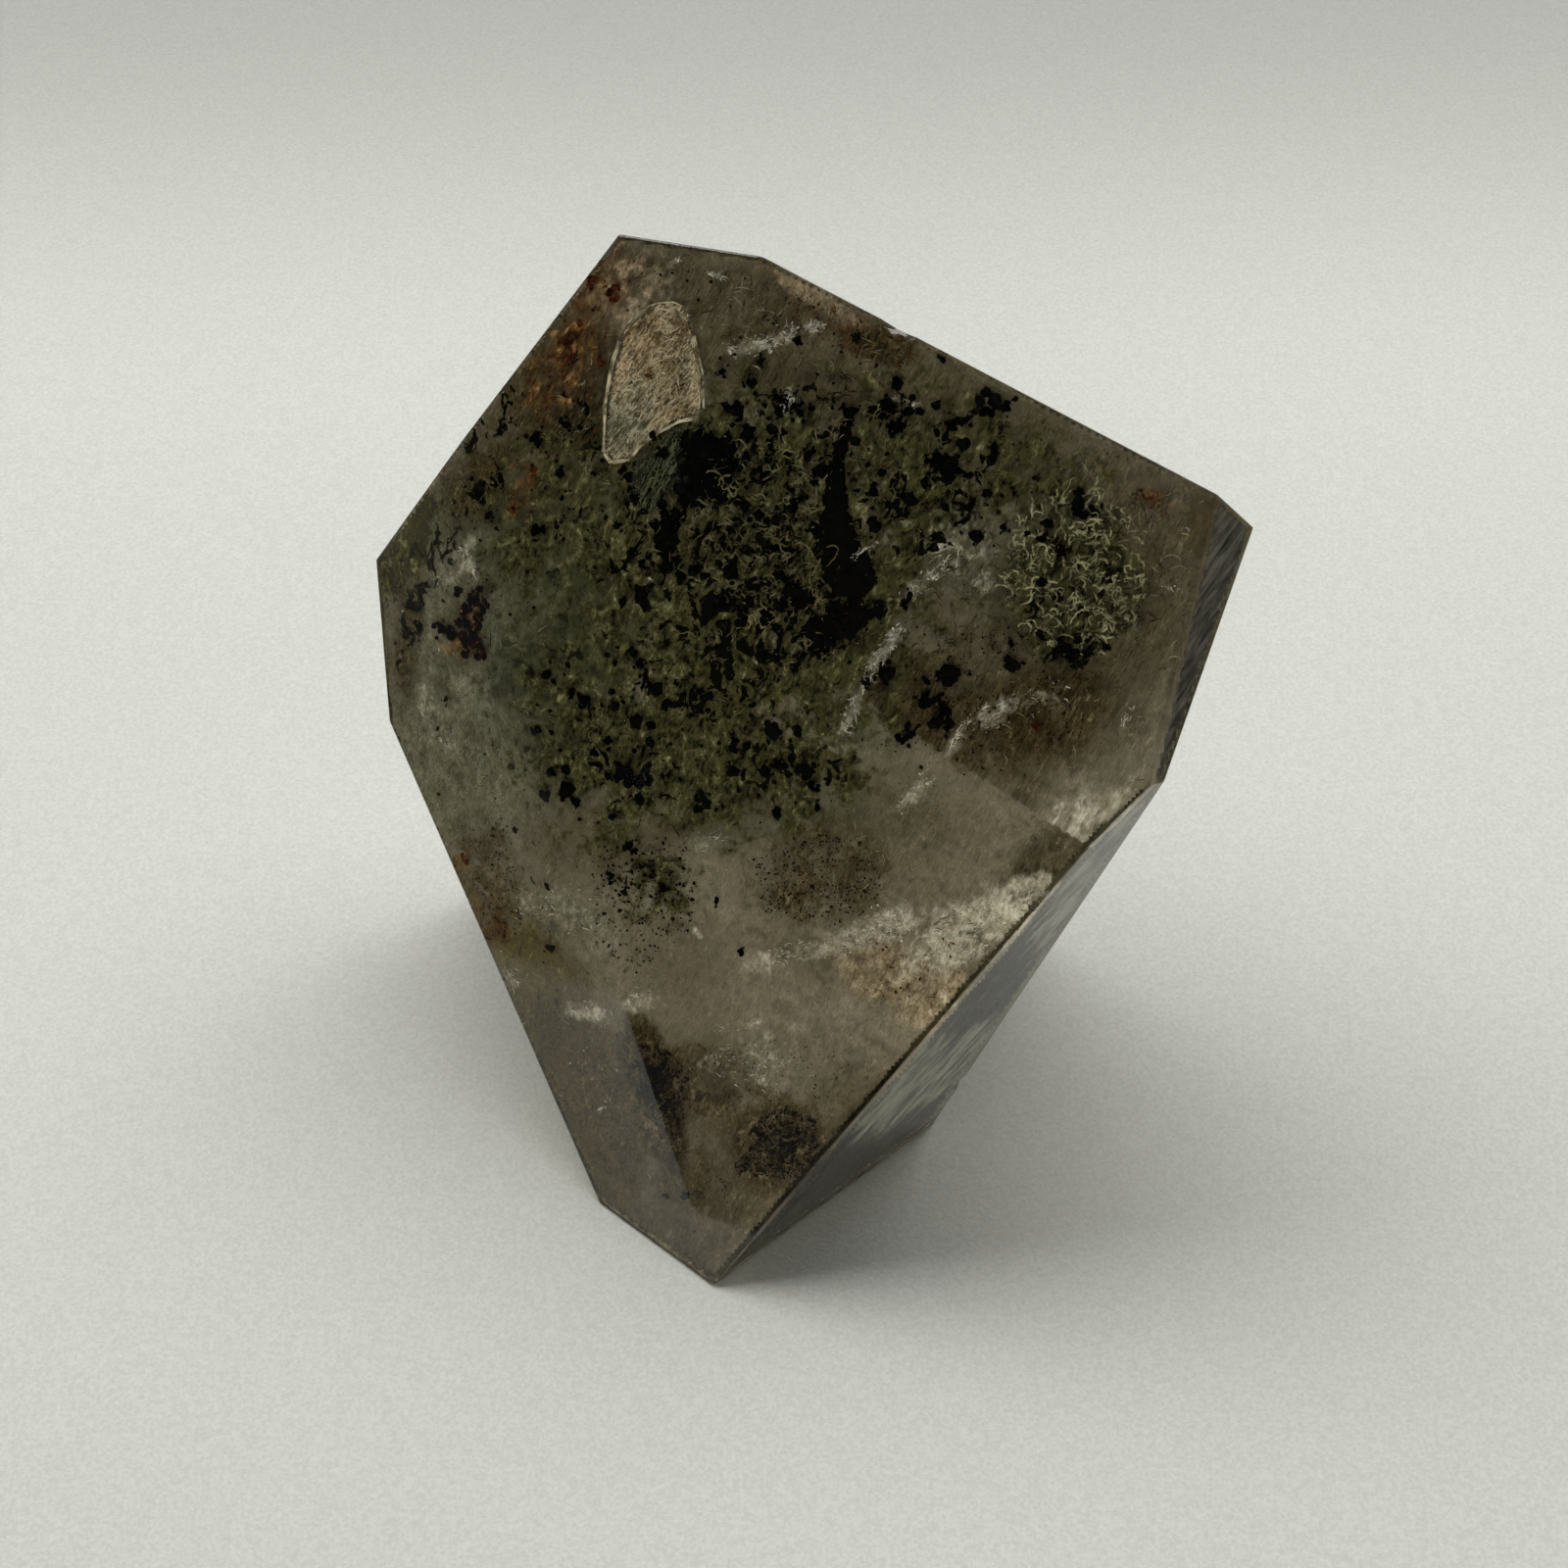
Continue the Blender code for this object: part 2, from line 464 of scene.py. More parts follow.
for slot in stone.material_slots:
    slot.material = clearQuartz().material
print("stone finished")


smokyBack = {
    "rings": 70,
    "spokes": 120,
    "widest": 135.0,  # degrees from straight behind
    "under": 0.5 * mm,  # how far under the back faces it lies
    "lumps": 1.8 * mm,
    "lumpSize": 9 * mm,
    "clearFront": (2.8 * mm, 1.6 * mm),  # it starts this far under the front, and fades in over this much
    "thinAbove": 0.45,  # how much of the light it stops under the upper faces, and under the rest
    "thinBelow": 0.8,
    "colours": [(0.36, (0.15, 0.12, 0.085)), (0.5, (0.33, 0.30, 0.24)), (0.64, (0.50, 0.48, 0.42))],
    "glow": (0.36, 0.33, 0.27),
}


def smokyShape():
    # rings round the heart, pushed out until they lie just under the faces
    ahead, aside, above = np.array(forward), np.array(right), np.array(upward)
    points, start = [], np.array(heart)
    rings, spokes = smokyBack["rings"], smokyBack["spokes"]
    for i in range(rings + 1):
        away = math.radians(smokyBack["widest"]) * i / rings
        for k in range(spokes):
            turn = 2 * math.pi * k / spokes
            way = ahead * math.cos(away) + (aside * math.cos(turn) + above * math.sin(turn)) * math.sin(away)
            place = start + way * roomAhead(start, way)
            lump = noise.fractal(Vector(place) / smokyBack["lumpSize"], 0.6, 2.0, 4)
            points.append(place - way * smokyBack["lumps"] * (0.5 + 0.5 * lump))
    faces = [(i * spokes + k, i * spokes + (k + 1) % spokes, (i + 1) * spokes + (k + 1) % spokes,
              (i + 1) * spokes + k) for i in range(rings) for k in range(spokes)]
    return keepIn(points, smokyBack["under"]), faces


def makeSmokyBack():
    points, faces = smokyShape()
    front = faceNormals @ -np.array(forward) > 0.55
    fromFront = (faceReach[front][None, :] - points @ faceNormals[front].T).min(axis=1)
    least, over = smokyBack["clearFront"]
    fade = np.clip((fromFront - least) / over, 0, 1)
    nearest = (faceReach[None, :] - points @ faceNormals.T).argmin(axis=1)
    thick = np.where(faceNormals[nearest][:, 2] > 0.2, smokyBack["thinAbove"], smokyBack["thinBelow"])
    f = Finish("smoky cloud", (0.35, 0.31, 0.25))
    large = f.cloud(14 * mm, detail=3.0)
    fine = f.cloud(2.2 * mm, detail=6.0, rough=0.7)
    tone = large * 0.7 + fine * 0.3
    colour = f.ramp(tone, *smokyBack["colours"])
    solid = f.blend(0.6, f.body({"Base Color": colour, "Roughness": 0.9}), f.glow(smokyBack["glow"]))
    cover = f.clip(f.mark() * 0.75 + (tone - 0.5) * 1.6, 0.1, 1.0) * f.mark("thick")
    f.done(f.blend(cover, f.clear(), solid))
    addPiece("smoky_back", points, faces, f, {"fade": fade, "thick": thick})


makeSmokyBack()


# painted shade under the stone, seen through its base
baseShadeSkin = {
    "heights": (0.16, 0.16, 0.4, 0.7, 1.0, 1.4),  # mm above the base
    "margins": (0.30, 0.16, 0.12, 0.12, 0.14, 0.18),  # mm in from the side faces
    "spokes": 240,
    "fade": (0.3, 1.1),  # it starts to thin out this high, and is gone this much higher, in mm
    "colours": [(0.42, (0.035, 0.028, 0.015)), (0.5, (0.10, 0.085, 0.050)), (0.58, (0.17, 0.15, 0.095))],
}


def makeBaseShadeSkin():
    # painted shade: a dark brown skin close over the base and up the foot of the side faces, for the dark
    # floor contact seen through the base
    points, fade, spokes = [(0, 0, baseShadeSkin["heights"][0] * mm)], [1.0], baseShadeSkin["spokes"]
    low, over = baseShadeSkin["fade"]
    for height, margin in zip(baseShadeSkin["heights"], baseShadeSkin["margins"]):
        start = np.array([0, 0, height * mm])
        for k in range(spokes):
            turn = 2 * math.pi * k / spokes
            way = np.array([math.cos(turn), math.sin(turn), 0])
            points.append(start + way * roomAhead(start, way, margin * mm))
            fade.append(max(0.0, 1 - (height - low) / over))
    faces = [(0, 1 + (k + 1) % spokes, 1 + k) for k in range(spokes)]
    for i in range(len(baseShadeSkin["heights"]) - 1):
        lower, upper = 1 + i * spokes, 1 + (i + 1) * spokes
        for k in range(spokes):
            after = (k + 1) % spokes
            faces.append((lower + k, lower + after, upper + after, upper + k))
    f = Finish("brown base shade", (0.16, 0.14, 0.09))
    fine = f.cloud(0.5 * mm, detail=4.0, rough=0.7)
    tone = fine * 0.5 + f.cloud(3 * mm, detail=3.0) * 0.5
    alpha = f.clip(f.mark() + (tone - 0.5) * 3.0, 0.2, 1.1)
    f.done(f.coat(f.ramp(tone, *baseShadeSkin["colours"]), 0.8, fine, 0.1 * mm, Alpha=alpha))
    addPiece("base_shade_skin", points, faces, f, {"fade": fade})


makeBaseShadeSkin()


crust = {  # the mottled crust close under the front
    "outline": [(632, 242), (777, 264), (1242, 506), (1272, 540), (1186, 792), (1110, 860), (731, 1303),
                (615, 1228), (399, 738), (386, 573), (468, 450)],
    "depth": 2.4 * mm,
    "relief": 0.7 * mm,
    "lumps": 3.4 * mm,
    "fine": (0.10 * mm, 0.8 * mm),  # how high and how wide the small lumps are
    "aroundVeils": (0.5, 0.28),  # how pale the quartz is round a broad white streak, and round a fine one
    "through": 0.15,  # how much light comes through from behind
    "glow": (0.50, 0.44, 0.32),
    "black": (0.003, 0.003, 0.002),
    "plain": [(0.43, (0.135, 0.117, 0.082)), (0.49, (0.195, 0.175, 0.131)), (0.55, (0.250, 0.229, 0.177)),
              (0.61, (0.37, 0.345, 0.275))],
    "tintStops": (0.42, 0.49, 0.56, 0.63),
    "tints": [  # mark, the pattern it follows, where it starts and is full, how ragged it is, four colours
        ("green", "fibres", 0.0, 1.0, 0.5,
         [(0.016, 0.018, 0.008), (0.044, 0.047, 0.025), (0.090, 0.093, 0.056), (0.26, 0.26, 0.18)]),
        ("silver", "soft", 0.0, 1.0, 0.5,
         [(0.050, 0.048, 0.029), (0.130, 0.126, 0.085), (0.225, 0.220, 0.162), (0.42, 0.41, 0.34)]),
        ("smoke", "soft", 0.0, 1.0, 0.5,
         [(0.018, 0.014, 0.007), (0.073, 0.060, 0.036), (0.140, 0.120, 0.080), (0.34, 0.31, 0.225)]),
        ("amber", "soft", 0.0, 1.0, 0.5,
         [(0.016, 0.010, 0.001), (0.080, 0.060, 0.010), (0.140, 0.112, 0.030), (0.30, 0.26, 0.12)]),
        ("brown", "soft", 0.1, 0.9, 0.6,
         [(0.006, 0.004, 0.001), (0.034, 0.025, 0.010), (0.085, 0.066, 0.034), (0.22, 0.185, 0.12)]),
        ("moss", "crisp", 0.25, 0.75, 0.8,
         [(0.013, 0.012, 0.005), (0.038, 0.036, 0.014), (0.076, 0.072, 0.031), (0.25, 0.238, 0.130)]),
        ("rust", "crisp", 0.2, 0.9, 0.8,
         [(0.012, 0.004, 0.002), (0.060, 0.028, 0.010), (0.16, 0.085, 0.030), (0.40, 0.27, 0.13)]),
        ("tan", "fibres", 0.1, 0.9, 0.5,
         [(0.09, 0.060, 0.034), (0.23, 0.180, 0.115), (0.42, 0.36, 0.26), (0.78, 0.73, 0.60)]),
        ("pale", "fibres", 0.1, 0.9, 0.5,
         [(0.19, 0.170, 0.125), (0.40, 0.375, 0.300), (0.68, 0.66, 0.58), (0.97, 0.96, 0.92)]),
    ],
    "marks": {  # each oval is its middle, half width, half height, turn and strength; a name that starts with upper or lower stops at the upper front's ridge, as a painted step of light and shade there
        # with upper or lower stops at the upper front's ridge
        "cover": [(800, 800, 620, 700, 0, 0.92), (780, 500, 520, 330, 22, 1.0),
                  (640, 680, 270, 220, 0, 1.0), (735, 1270, 120, 70, 0, 1.1), (640, 1220, 60, 60, 0, 1.0)],
        "moss": [(640, 845, 80, 34, 0, 0.5), (414, 560, 20, 76, 25, 0.9), (768, 592, 172, 192, -12, 1.1),
                 (700, 765, 165, 80, 5, 1.0), (930, 520, 120, 130, 0, 0.8), (1100, 595, 70, 84, 0, 0.8),
                 (575, 530, 90, 100, 30, 0.65), (470, 520, 60, 90, 30, 0.3), (1010, 470, 130, 70, 22, 0.7),
                 (665, 905, 56, 46, 0, 0.5), (615, 680, 100, 100, 0, 0.6), (640, 460, 60, 60, 0, 0.6)],
        "amber": [(545, 1050, 60, 170, -22, 0.75)],
        "green": [(550, 610, 140, 170, 20, 1.2), (650, 500, 60, 80, 20, 1.0), (1100, 600, 95, 105, 0, 1.1),
                  (760, 820, 200, 50, 0, 0.7), (900, 480, 120, 80, 20, 0.6), (590, 740, 90, 90, 0, 1.0)],
        "smoke": [(690, 975, 60, 50, 0, 0.45), (915, 795, 50, 40, 0, 0.4), (620, 850, 90, 50, -10, 0.8),
                  (830, 350, 360, 95, 27, 1.1), (600, 370, 100, 140, 35, 1.0),
                  (1150, 580, 92, 160, 12, 0.95), (1060, 700, 120, 90, 0, 1.0),
                  (740, 1240, 130, 90, 0, 0.9), (590, 1100, 60, 170, -22, 1.1),
                  (520, 960, 50, 90, -22, 0.5), (700, 1150, 90, 110, -20, 0.7), (980, 620, 110, 90, 0, 0.6),
                  (900, 850, 120, 60, 0, 0.45), (850, 1150, 100, 50, -40, 0.7)],
        "brown": [(600, 1110, 56, 140, -22, 0.55), (575, 388, 56, 76, 35, 0.8), (420, 640, 16, 90, 5, 0.7),
                  (1060, 728, 74, 46, -25, 1.0), (982, 735, 44, 36, 0, 0.8), (832, 893, 80, 54, 0, 0.6),
                  (500, 890, 36, 78, -22, 0.5), (895, 352, 38, 18, 20, 1.4), (850, 310, 80, 26, 28, 0.5),
                  (490, 488, 36, 60, 25, 0.8), (705, 1105, 76, 40, 0, 0.75), (668, 1115, 24, 84, -15, 1.5),
                  (1020, 745, 60, 40, -15, 0.7), (795, 1166, 56, 46, 0, 1.0), (1240, 540, 34, 40, 0, 0.9),
                  (552, 1060, 36, 76, -25, 0.5), (885, 1150, 56, 26, -42, 0.5), (600, 420, 34, 50, 20, 0.9),
                  (700, 1200, 34, 60, -20, 0.5), (880, 470, 40, 80, 0, 0.6)],
        "rust": [(612, 290, 34, 46, 40, 1.0), (580, 368, 30, 60, 32, 0.7), (533, 500, 10, 34, 20, 0.8),
                 (838, 312, 70, 18, 28, 0.5), (506, 940, 22, 26, -20, 0.7), (1176, 511, 18, 12, 0, 1.0),
                 (475, 875, 10, 18, 0, 0.4), (475, 640, 24, 36, 0, 0.6)],
        "silver": [(480, 780, 70, 100, -15, 0.9), (470, 620, 80, 160, 15, 0.4), (448, 625, 30, 76, 15, 1.3),
                   (526, 622, 50, 40, -30, 0.6), (438, 775, 34, 64, -20, 1.0), (565, 930, 62, 34, 0, 0.75),
                   (520, 992, 26, 26, 0, 0.7), (600, 545, 50, 40, 0, 0.4), (760, 1085, 46, 24, -20, 0.7),
                   (655, 480, 32, 34, 0, 0.7), (1205, 700, 16, 90, 18, 0.5), (900, 870, 60, 30, -20, 0.3)],
        "pale": [(1046, 918, 36, 20, -35, 1.5), (990, 948, 64, 30, -30, 0.95), (912, 942, 30, 15, -20, 0.9),
                 (840, 966, 80, 14, -12, 0.5), (985, 570, 50, 40, -35, 0.35), (765, 1080, 70, 26, -20, 0.3),
                 (650, 1020, 20, 12, 0, 0.6), (600, 1030, 24, 10, 0, 0.6), (470, 570, 10, 40, 30, 0.5)],
        "tan": [(640, 300, 46, 46, 30, 0.4), (915, 992, 60, 26, 10, 1.3), (950, 1010, 40, 30, -30, 1.0),
                (835, 306, 44, 12, 28, 0.9)],
        # painted light and shade: the upper and lower marks change tone sharply at the ridge for how
        # differently its two facets take the light; the tints are the growths' own colours
        "upperPale": [(1108, 826, 50, 30, -35, 0.5), (1086, 846, 40, 26, -35, 0.6)],
        "upperSmoke": [(900, 690, 66, 40, 35, 1.3), (965, 745, 60, 34, 35, 1.3),
                       (1030, 790, 50, 30, 35, 0.8)],
        "lowerSilver": [(878, 728, 56, 34, 35, 1.1)],
        "upperBrown": [(890, 680, 40, 20, 35, 0.8), (925, 705, 60, 46, 10, 0.8), (965, 735, 40, 30, 0, 1.0),
                       (1010, 760, 50, 30, -20, 0.7)],
        "lowerSmoke": [(1080, 880, 60, 40, -35, 1.1), (960, 840, 60, 30, -20, 0.3)],
        "black": [(768, 600, 90, 104, 0, 1.1), (716, 476, 34, 48, 15, 1.7), (678, 545, 12, 30, 10, 1.6),
                  (905, 425, 30, 22, 0, 1.2), (730, 540, 170, 130, 0, 0.65), (802, 642, 60, 30, 0, 1.1),
                  (645, 790, 110, 46, 0, 0.4), (810, 785, 66, 36, 0, 0.6), (956, 730, 28, 24, 0, 1.0),
                  (1096, 666, 32, 16, -10, 1.3), (1050, 630, 36, 18, 28, 0.9), (495, 500, 16, 50, 25, 0.8),
                  (444, 563, 20, 30, 20, 1.0), (665, 905, 36, 28, 0, 0.6), (590, 415, 20, 40, 20, 0.7),
                  (1100, 600, 70, 70, 0, 0.5), (940, 490, 110, 90, 0, 0.6), (840, 440, 120, 60, 0, 0.5),
                  (640, 690, 150, 80, 0, 0.32), (705, 700, 60, 50, 0, 0.7), (670, 1108, 18, 34, -20, 1.2),
                  (795, 1166, 36, 26, 0, 0.6), (426, 620, 12, 60, 15, 1.0), (500, 430, 30, 60, 35, 0.7)],
    },
}


def crustDepth(place):
    lumps = noise.fractal(place / crust["lumps"] + Vector((1, 0, 1)), 0.6, 2.0, 4)
    height, width = crust["fine"]
    small = noise.noise(place / width) + 0.6 * noise.noise(place / (width / 2))
    return crust["depth"] + crust["relief"] * lumps + height * small


def onCrust(px, py, lift):
    # a point that stands out in front of the crust by lift
    found = wayIn(px, py)
    return None if found is None else goIn(*found, crustDepth(found[0]) - lift)


def crustFinish(name):
    f = Finish(name, (0.10, 0.09, 0.05))
    hair = f.cloud(0.16 * mm, detail=2.0, rough=0.6, warp=0.4, at=f.alongGrain(7.0))
    silk = f.cloud(0.55 * mm, detail=3.0, rough=0.6, warp=0.5, at=f.alongGrain(4.0))
    fine = f.cloud(0.15 * mm, detail=2.0, rough=0.7)
    grit = f.cloud(0.45 * mm, detail=2.0, rough=0.6, warp=0.6, at=f.alongGrain(1.8))
    lumps = f.cloud(1.5 * mm, detail=4.0, rough=0.66, warp=0.5)
    curly = f.cloud(1.15 * mm, detail=3.0, rough=0.55, warp=1.3, at=f.alongGrain(1.4))
    gaps = f.cloud(1.5 * mm, detail=2.5, rough=0.55, warp=1.0, at=f.alongGrain(1.3))
    broad = f.cloud(4.0 * mm, detail=3.0, rough=0.6, warp=0.4)
    crisp = hair * 0.20 + grit * 0.17 + curly * 0.40 + lumps * 0.23
    soft = hair * 0.24 + fine * 0.14 + silk * 0.26 + lumps * 0.16 + broad * 0.20
    patterns = {"crisp": crisp, "soft": soft, "fibres": crisp * 0.5 + soft * 0.5}
    ragged = (broad - 0.5) * 2.4 + (lumps - 0.5) * 2.2 + (silk - 0.5) * 0.8

    colour, parts = f.ramp(soft, *crust["plain"]), {}
    for kind, pattern, low, high, rough, colours in crust["tints"]:
        part = f.clip(f.mark(kind) + ragged * rough, low, high) * f.clip(f.mark(kind), 0.0, 0.25)
        colour = f.mix(part, colour, f.ramp(patterns[pattern], *zip(crust["tintStops"], colours)))
        parts[kind] = part
    black = f.clip(f.mark("black") * 0.19 + gaps, 0.675, 0.71) * f.clip(f.mark("black"), 0.12, 0.4)
    colour = f.mix(black, colour, crust["black"])
    through = (1.0 - parts["moss"]) * (1.0 - black) * (1.0 - parts["brown"]) * crust["through"]
    solid = f.blend(through, f.coat(colour, 0.7, crisp, 0.3 * mm), f.glow(crust["glow"]))
    cover = f.clip(f.mark("cover") + (crisp - 0.5) * 1.6, 0.15, 0.95) * f.mark()
    return f.done(f.blend(cover, f.clear(), solid))


def paleRound(streak):
    # the oval of pale quartz round a white streak
    (ax, ay), (bx, by), across, _, (_, widest) = streak
    broad, fine = crust["aroundVeils"]
    return ((ax + bx) / 2, (ay + by) / 2, math.hypot(bx - ax, by - ay) / 2 + 5, across * 0.9 + 1,
            math.degrees(math.atan2(by - ay, bx - ax)), broad if widest > 0.6 else fine)


def makeCrust():
    heap = Heap()
    pale = crust["marks"]["pale"] + [paleRound(streak) for streak in veils["streaks"]]
    addSheet(heap, crust["outline"], lambda px, py, place: crustDepth(place), step=4, soft=2,
             marks={**crust["marks"], "pale": pale})
    heap.piece("crust", crustFinish("mottled crust"), margin=0.2 * mm)


deepGrowth = {  # a darker growth further in, seen through the gaps of the crust
    "outline": [(470, 470), (640, 300), (840, 330), (1180, 520), (1150, 700), (900, 800), (620, 860),
                (450, 700)],
    "depth": 8.0 * mm,
    "ripple": 3.0 * mm,
    "colours": [(0.40, (0.005, 0.005, 0.002)), (0.52, (0.025, 0.024, 0.009)), (0.66, (0.08, 0.075, 0.035))],
}


def makeDeepGrowth():
    heap = Heap()
    addSheet(heap, deepGrowth["outline"], deepGrowth["depth"], step=7, soft=50, ripple=deepGrowth["ripple"],
             rippleSize=6 * mm, seed=5.0)
    f = Finish("deep olive growth", (0.025, 0.024, 0.009))
    large = f.cloud(6 * mm, detail=4.0, rough=0.65)
    fine = f.cloud(1.1 * mm, detail=7.0, rough=0.72, warp=0.6)
    patches = f.cloud(3.2 * mm, detail=6.0, rough=0.7, warp=0.4)
    colour = f.ramp(large * 0.35 + fine * 0.65, *deepGrowth["colours"])
    alpha = f.clip(f.mark() * 0.8 + patches, 0.92, 1.12)
    heap.piece("deep_growth", f.done(f.coat(colour, 0.8, fine, 0.5 * mm, Alpha=alpha)))


mossThreads = {  # each field: outline, threads, lift off the crust and width in mm, how curly, direction
    "bright": [
        dict(outline=[(735, 470), (790, 440), (826, 470), (826, 560), (850, 620), (826, 660), (770, 655),
                      (740, 600), (700, 610), (716, 540)],
             threads=620, lift=(-0.2, 0.8), width=(0.09, 0.22), turning=0.6, run=70, clumps=(1.3, -0.05)),
    ],
    "dim": [
        dict(outline=[(430, 480), (560, 440), (680, 420), (840, 400), (960, 430), (980, 560), (930, 690),
                      (860, 780), (800, 850), (640, 860), (560, 800), (500, 700), (430, 600)],
             threads=560, lift=(-0.2, 0.5), width=(0.05, 0.15), turning=0.35, run=60),
        dict(outline=[(860, 440), (1060, 440), (1180, 520), (1200, 620), (1120, 700), (980, 700), (880, 600)],
             threads=420, lift=(-0.2, 0.5), width=(0.05, 0.13), turning=0.45, run=55),
        dict(outline=[(640, 262), (780, 280), (920, 350), (900, 420), (760, 420), (720, 330)],
             threads=260, lift=(-0.2, 0.4), width=(0.05, 0.11), turning=0.3, run=30),
        dict(outline=[(400, 560), (520, 420), (600, 420), (560, 700), (500, 840), (420, 760)],
             threads=420, lift=(-0.2, 0.4), width=(0.05, 0.11), turning=0.15, run=58),
    ],
    "steps": (7, 13),
    "stride": (0.14, 0.28),  # mm
}


def pickIn(rand, outline):
    # a random place of the picture, inside an outline and on the stone
    xs, ys = [p[0] for p in outline], [p[1] for p in outline]
    while True:
        px, py = rand.uniform(min(xs), max(xs)), rand.uniform(min(ys), max(ys))
        if within(px, py, outline) and wayIn(px, py) is not None:
            return px, py


def threadFinish(name, dark, light, lumps):
    f = Finish(name, light)
    colour = f.ramp(f.cloud(lumps, detail=3.0), (0.40, dark), (0.60, light))
    return f.done(f.coat(colour, 0.6, f.cloud(0.3 * mm), 0.1 * mm))


def addThread(heap, rand, start, way, steps, stride, width, turning, run=None, spread=0.3):
    # one curled thread from a point, along the face that way goes into; its lengths are in mm
    count, length = int(rand.integers(*steps)), rand.uniform(*stride) * mm
    path = curl(rand, start, count, length, turning, way, run, spread)
    addTube(heap, path, rand.uniform(*width) * mm, sides=4)


def addThreads(heap, rand, outline, threads, lift, clumps=None, **look):
    # threads over an outline; clumps is how large they are in mm, and the noise below which none grows
    for _ in range(threads):
        px, py = pickIn(rand, outline)
        start = onCrust(px, py, rand.uniform(*lift) * mm)
        if clumps and noise.noise(start / (clumps[0] * mm)) < clumps[1]:
            continue
        addThread(heap, rand, start, wayIn(px, py)[1], **look)


def makeMossThreads():
    rand = np.random.default_rng(4)
    length = dict(steps=mossThreads["steps"], stride=mossThreads["stride"])
    heap = Heap()
    for field in mossThreads["bright"]:
        addThreads(heap, rand, **length, **field)
    heap.piece("moss_threads", threadFinish("yellow green threads", (0.008, 0.007, 0.002),
                                            (0.185, 0.168, 0.083), 1.2 * mm))
    heap = Heap()
    for field in mossThreads["dim"]:
        addThreads(heap, rand, **length, **field)
    heap.piece("fine_threads", threadFinish("dim olive threads", (0.010, 0.009, 0.003),
                                            (0.14, 0.125, 0.055), 1.2 * mm))


mossPatch = {
    "middle": (1098, 585),
    "reach": (74, 84),  # in the picture, across and down
    "threads": 420,
    "lift": (-0.1, 0.8, 0.6),  # lowest, highest in the middle, and how much less towards the edge, in mm
    "clumps": (1.8, -0.12, 0.2),  # their size in mm, the noise below which none grows, less in the middle
    "look": dict(steps=(7, 14), stride=(0.14, 0.24), width=(0.09, 0.24), turning=0.5, run=50, spread=0.8),
}


def makeMossPatch():
    rand = np.random.default_rng(11)
    heap = Heap()
    (mx, my), (rx, ry) = mossPatch["middle"], mossPatch["reach"]
    low, high, less = mossPatch["lift"]
    size, least, drop = mossPatch["clumps"]
    for _ in range(mossPatch["threads"]):
        turn, away = rand.uniform(0, 2 * math.pi), rand.random() ** 0.5
        px, py = mx + rx * away * math.cos(turn), my + ry * away * math.sin(turn)
        start = onCrust(px, py, rand.uniform(low, high - less * away) * mm)
        if noise.noise(start / (size * mm)) < least - drop * (1 - away):
            continue
        addThread(heap, rand, start, wayIn(px, py)[1], **mossPatch["look"])
    heap.piece("moss_patch_threads", threadFinish("pale green threads", (0.024, 0.024, 0.010),
                                                  (0.44, 0.42, 0.25), 1.1 * mm))


backGrowth = {  # scattered all through the side and back of the stone
    "threads": 700,
    "threadLook": dict(steps=(6, 12), stride=(0.15, 0.3), width=(0.07, 0.18), turning=0.5),
    "specks": 420,
    "speckSize": (0.15, 1.0),  # the least, and how much more at the most, in mm
    "veils": 900,
    "veilSize": (0.1, 0.5),
    "depth": (0.7, 3.2),  # mm under the faces
    "clumps": 7.0 * mm,
}


def behind(rand, seed):
    # a point a little way under a face at the side or back, and the way in; the growths lie in clumps
    start = np.array(heart)
    while True:
        way = rand.normal(size=3)
        way /= np.linalg.norm(way)
        place = start + way * (roomAhead(start, way) - rand.uniform(*backGrowth["depth"]) * mm)
        clump = noise.fractal(Vector(place) / backGrowth["clumps"] + Vector((seed, 0, 0)), 0.6, 2.0, 3)
        if way @ np.array(forward) > -0.05 and clump > 0.05:
            return Vector(place), Vector(-way)


def makeBackGrowth():
    rand = np.random.default_rng(81)
    threads, specks, veils = Heap(), Heap(), Heap()
    for _ in range(backGrowth["threads"]):
        addThread(threads, rand, *behind(rand, 3.0), **backGrowth["threadLook"])
    threads.piece("back_threads", threadFinish("olive back threads", (0.02, 0.019, 0.007),
                                               (0.24, 0.22, 0.12), 1.5 * mm))
    least, more = backGrowth["speckSize"]
    for _ in range(backGrowth["specks"]):
        place, size = behind(rand, 3.5)[0], (least + more * rand.random() ** 3) * mm
        addGrain(specks, rand, place, size, rough=0.45, flat=0.7)
    specks.piece("back_specks", speckFinish("back specks", (0.002, 0.002, 0.002), (0.02, 0.014, 0.010)),
                 smooth=False)
    least, more = backGrowth["veilSize"]
    for _ in range(backGrowth["veils"]):
        addFlake(veils, rand, behind(rand, 9.0)[0], (least + more * rand.random() ** 2) * mm, thin=0.5)
    veils.piece("back_veils", speckFinish("back veils", (0.30, 0.27, 0.21), (0.80, 0.78, 0.70)), smooth=False)


makeDeepGrowth()
makeMossThreads()
makeMossPatch()


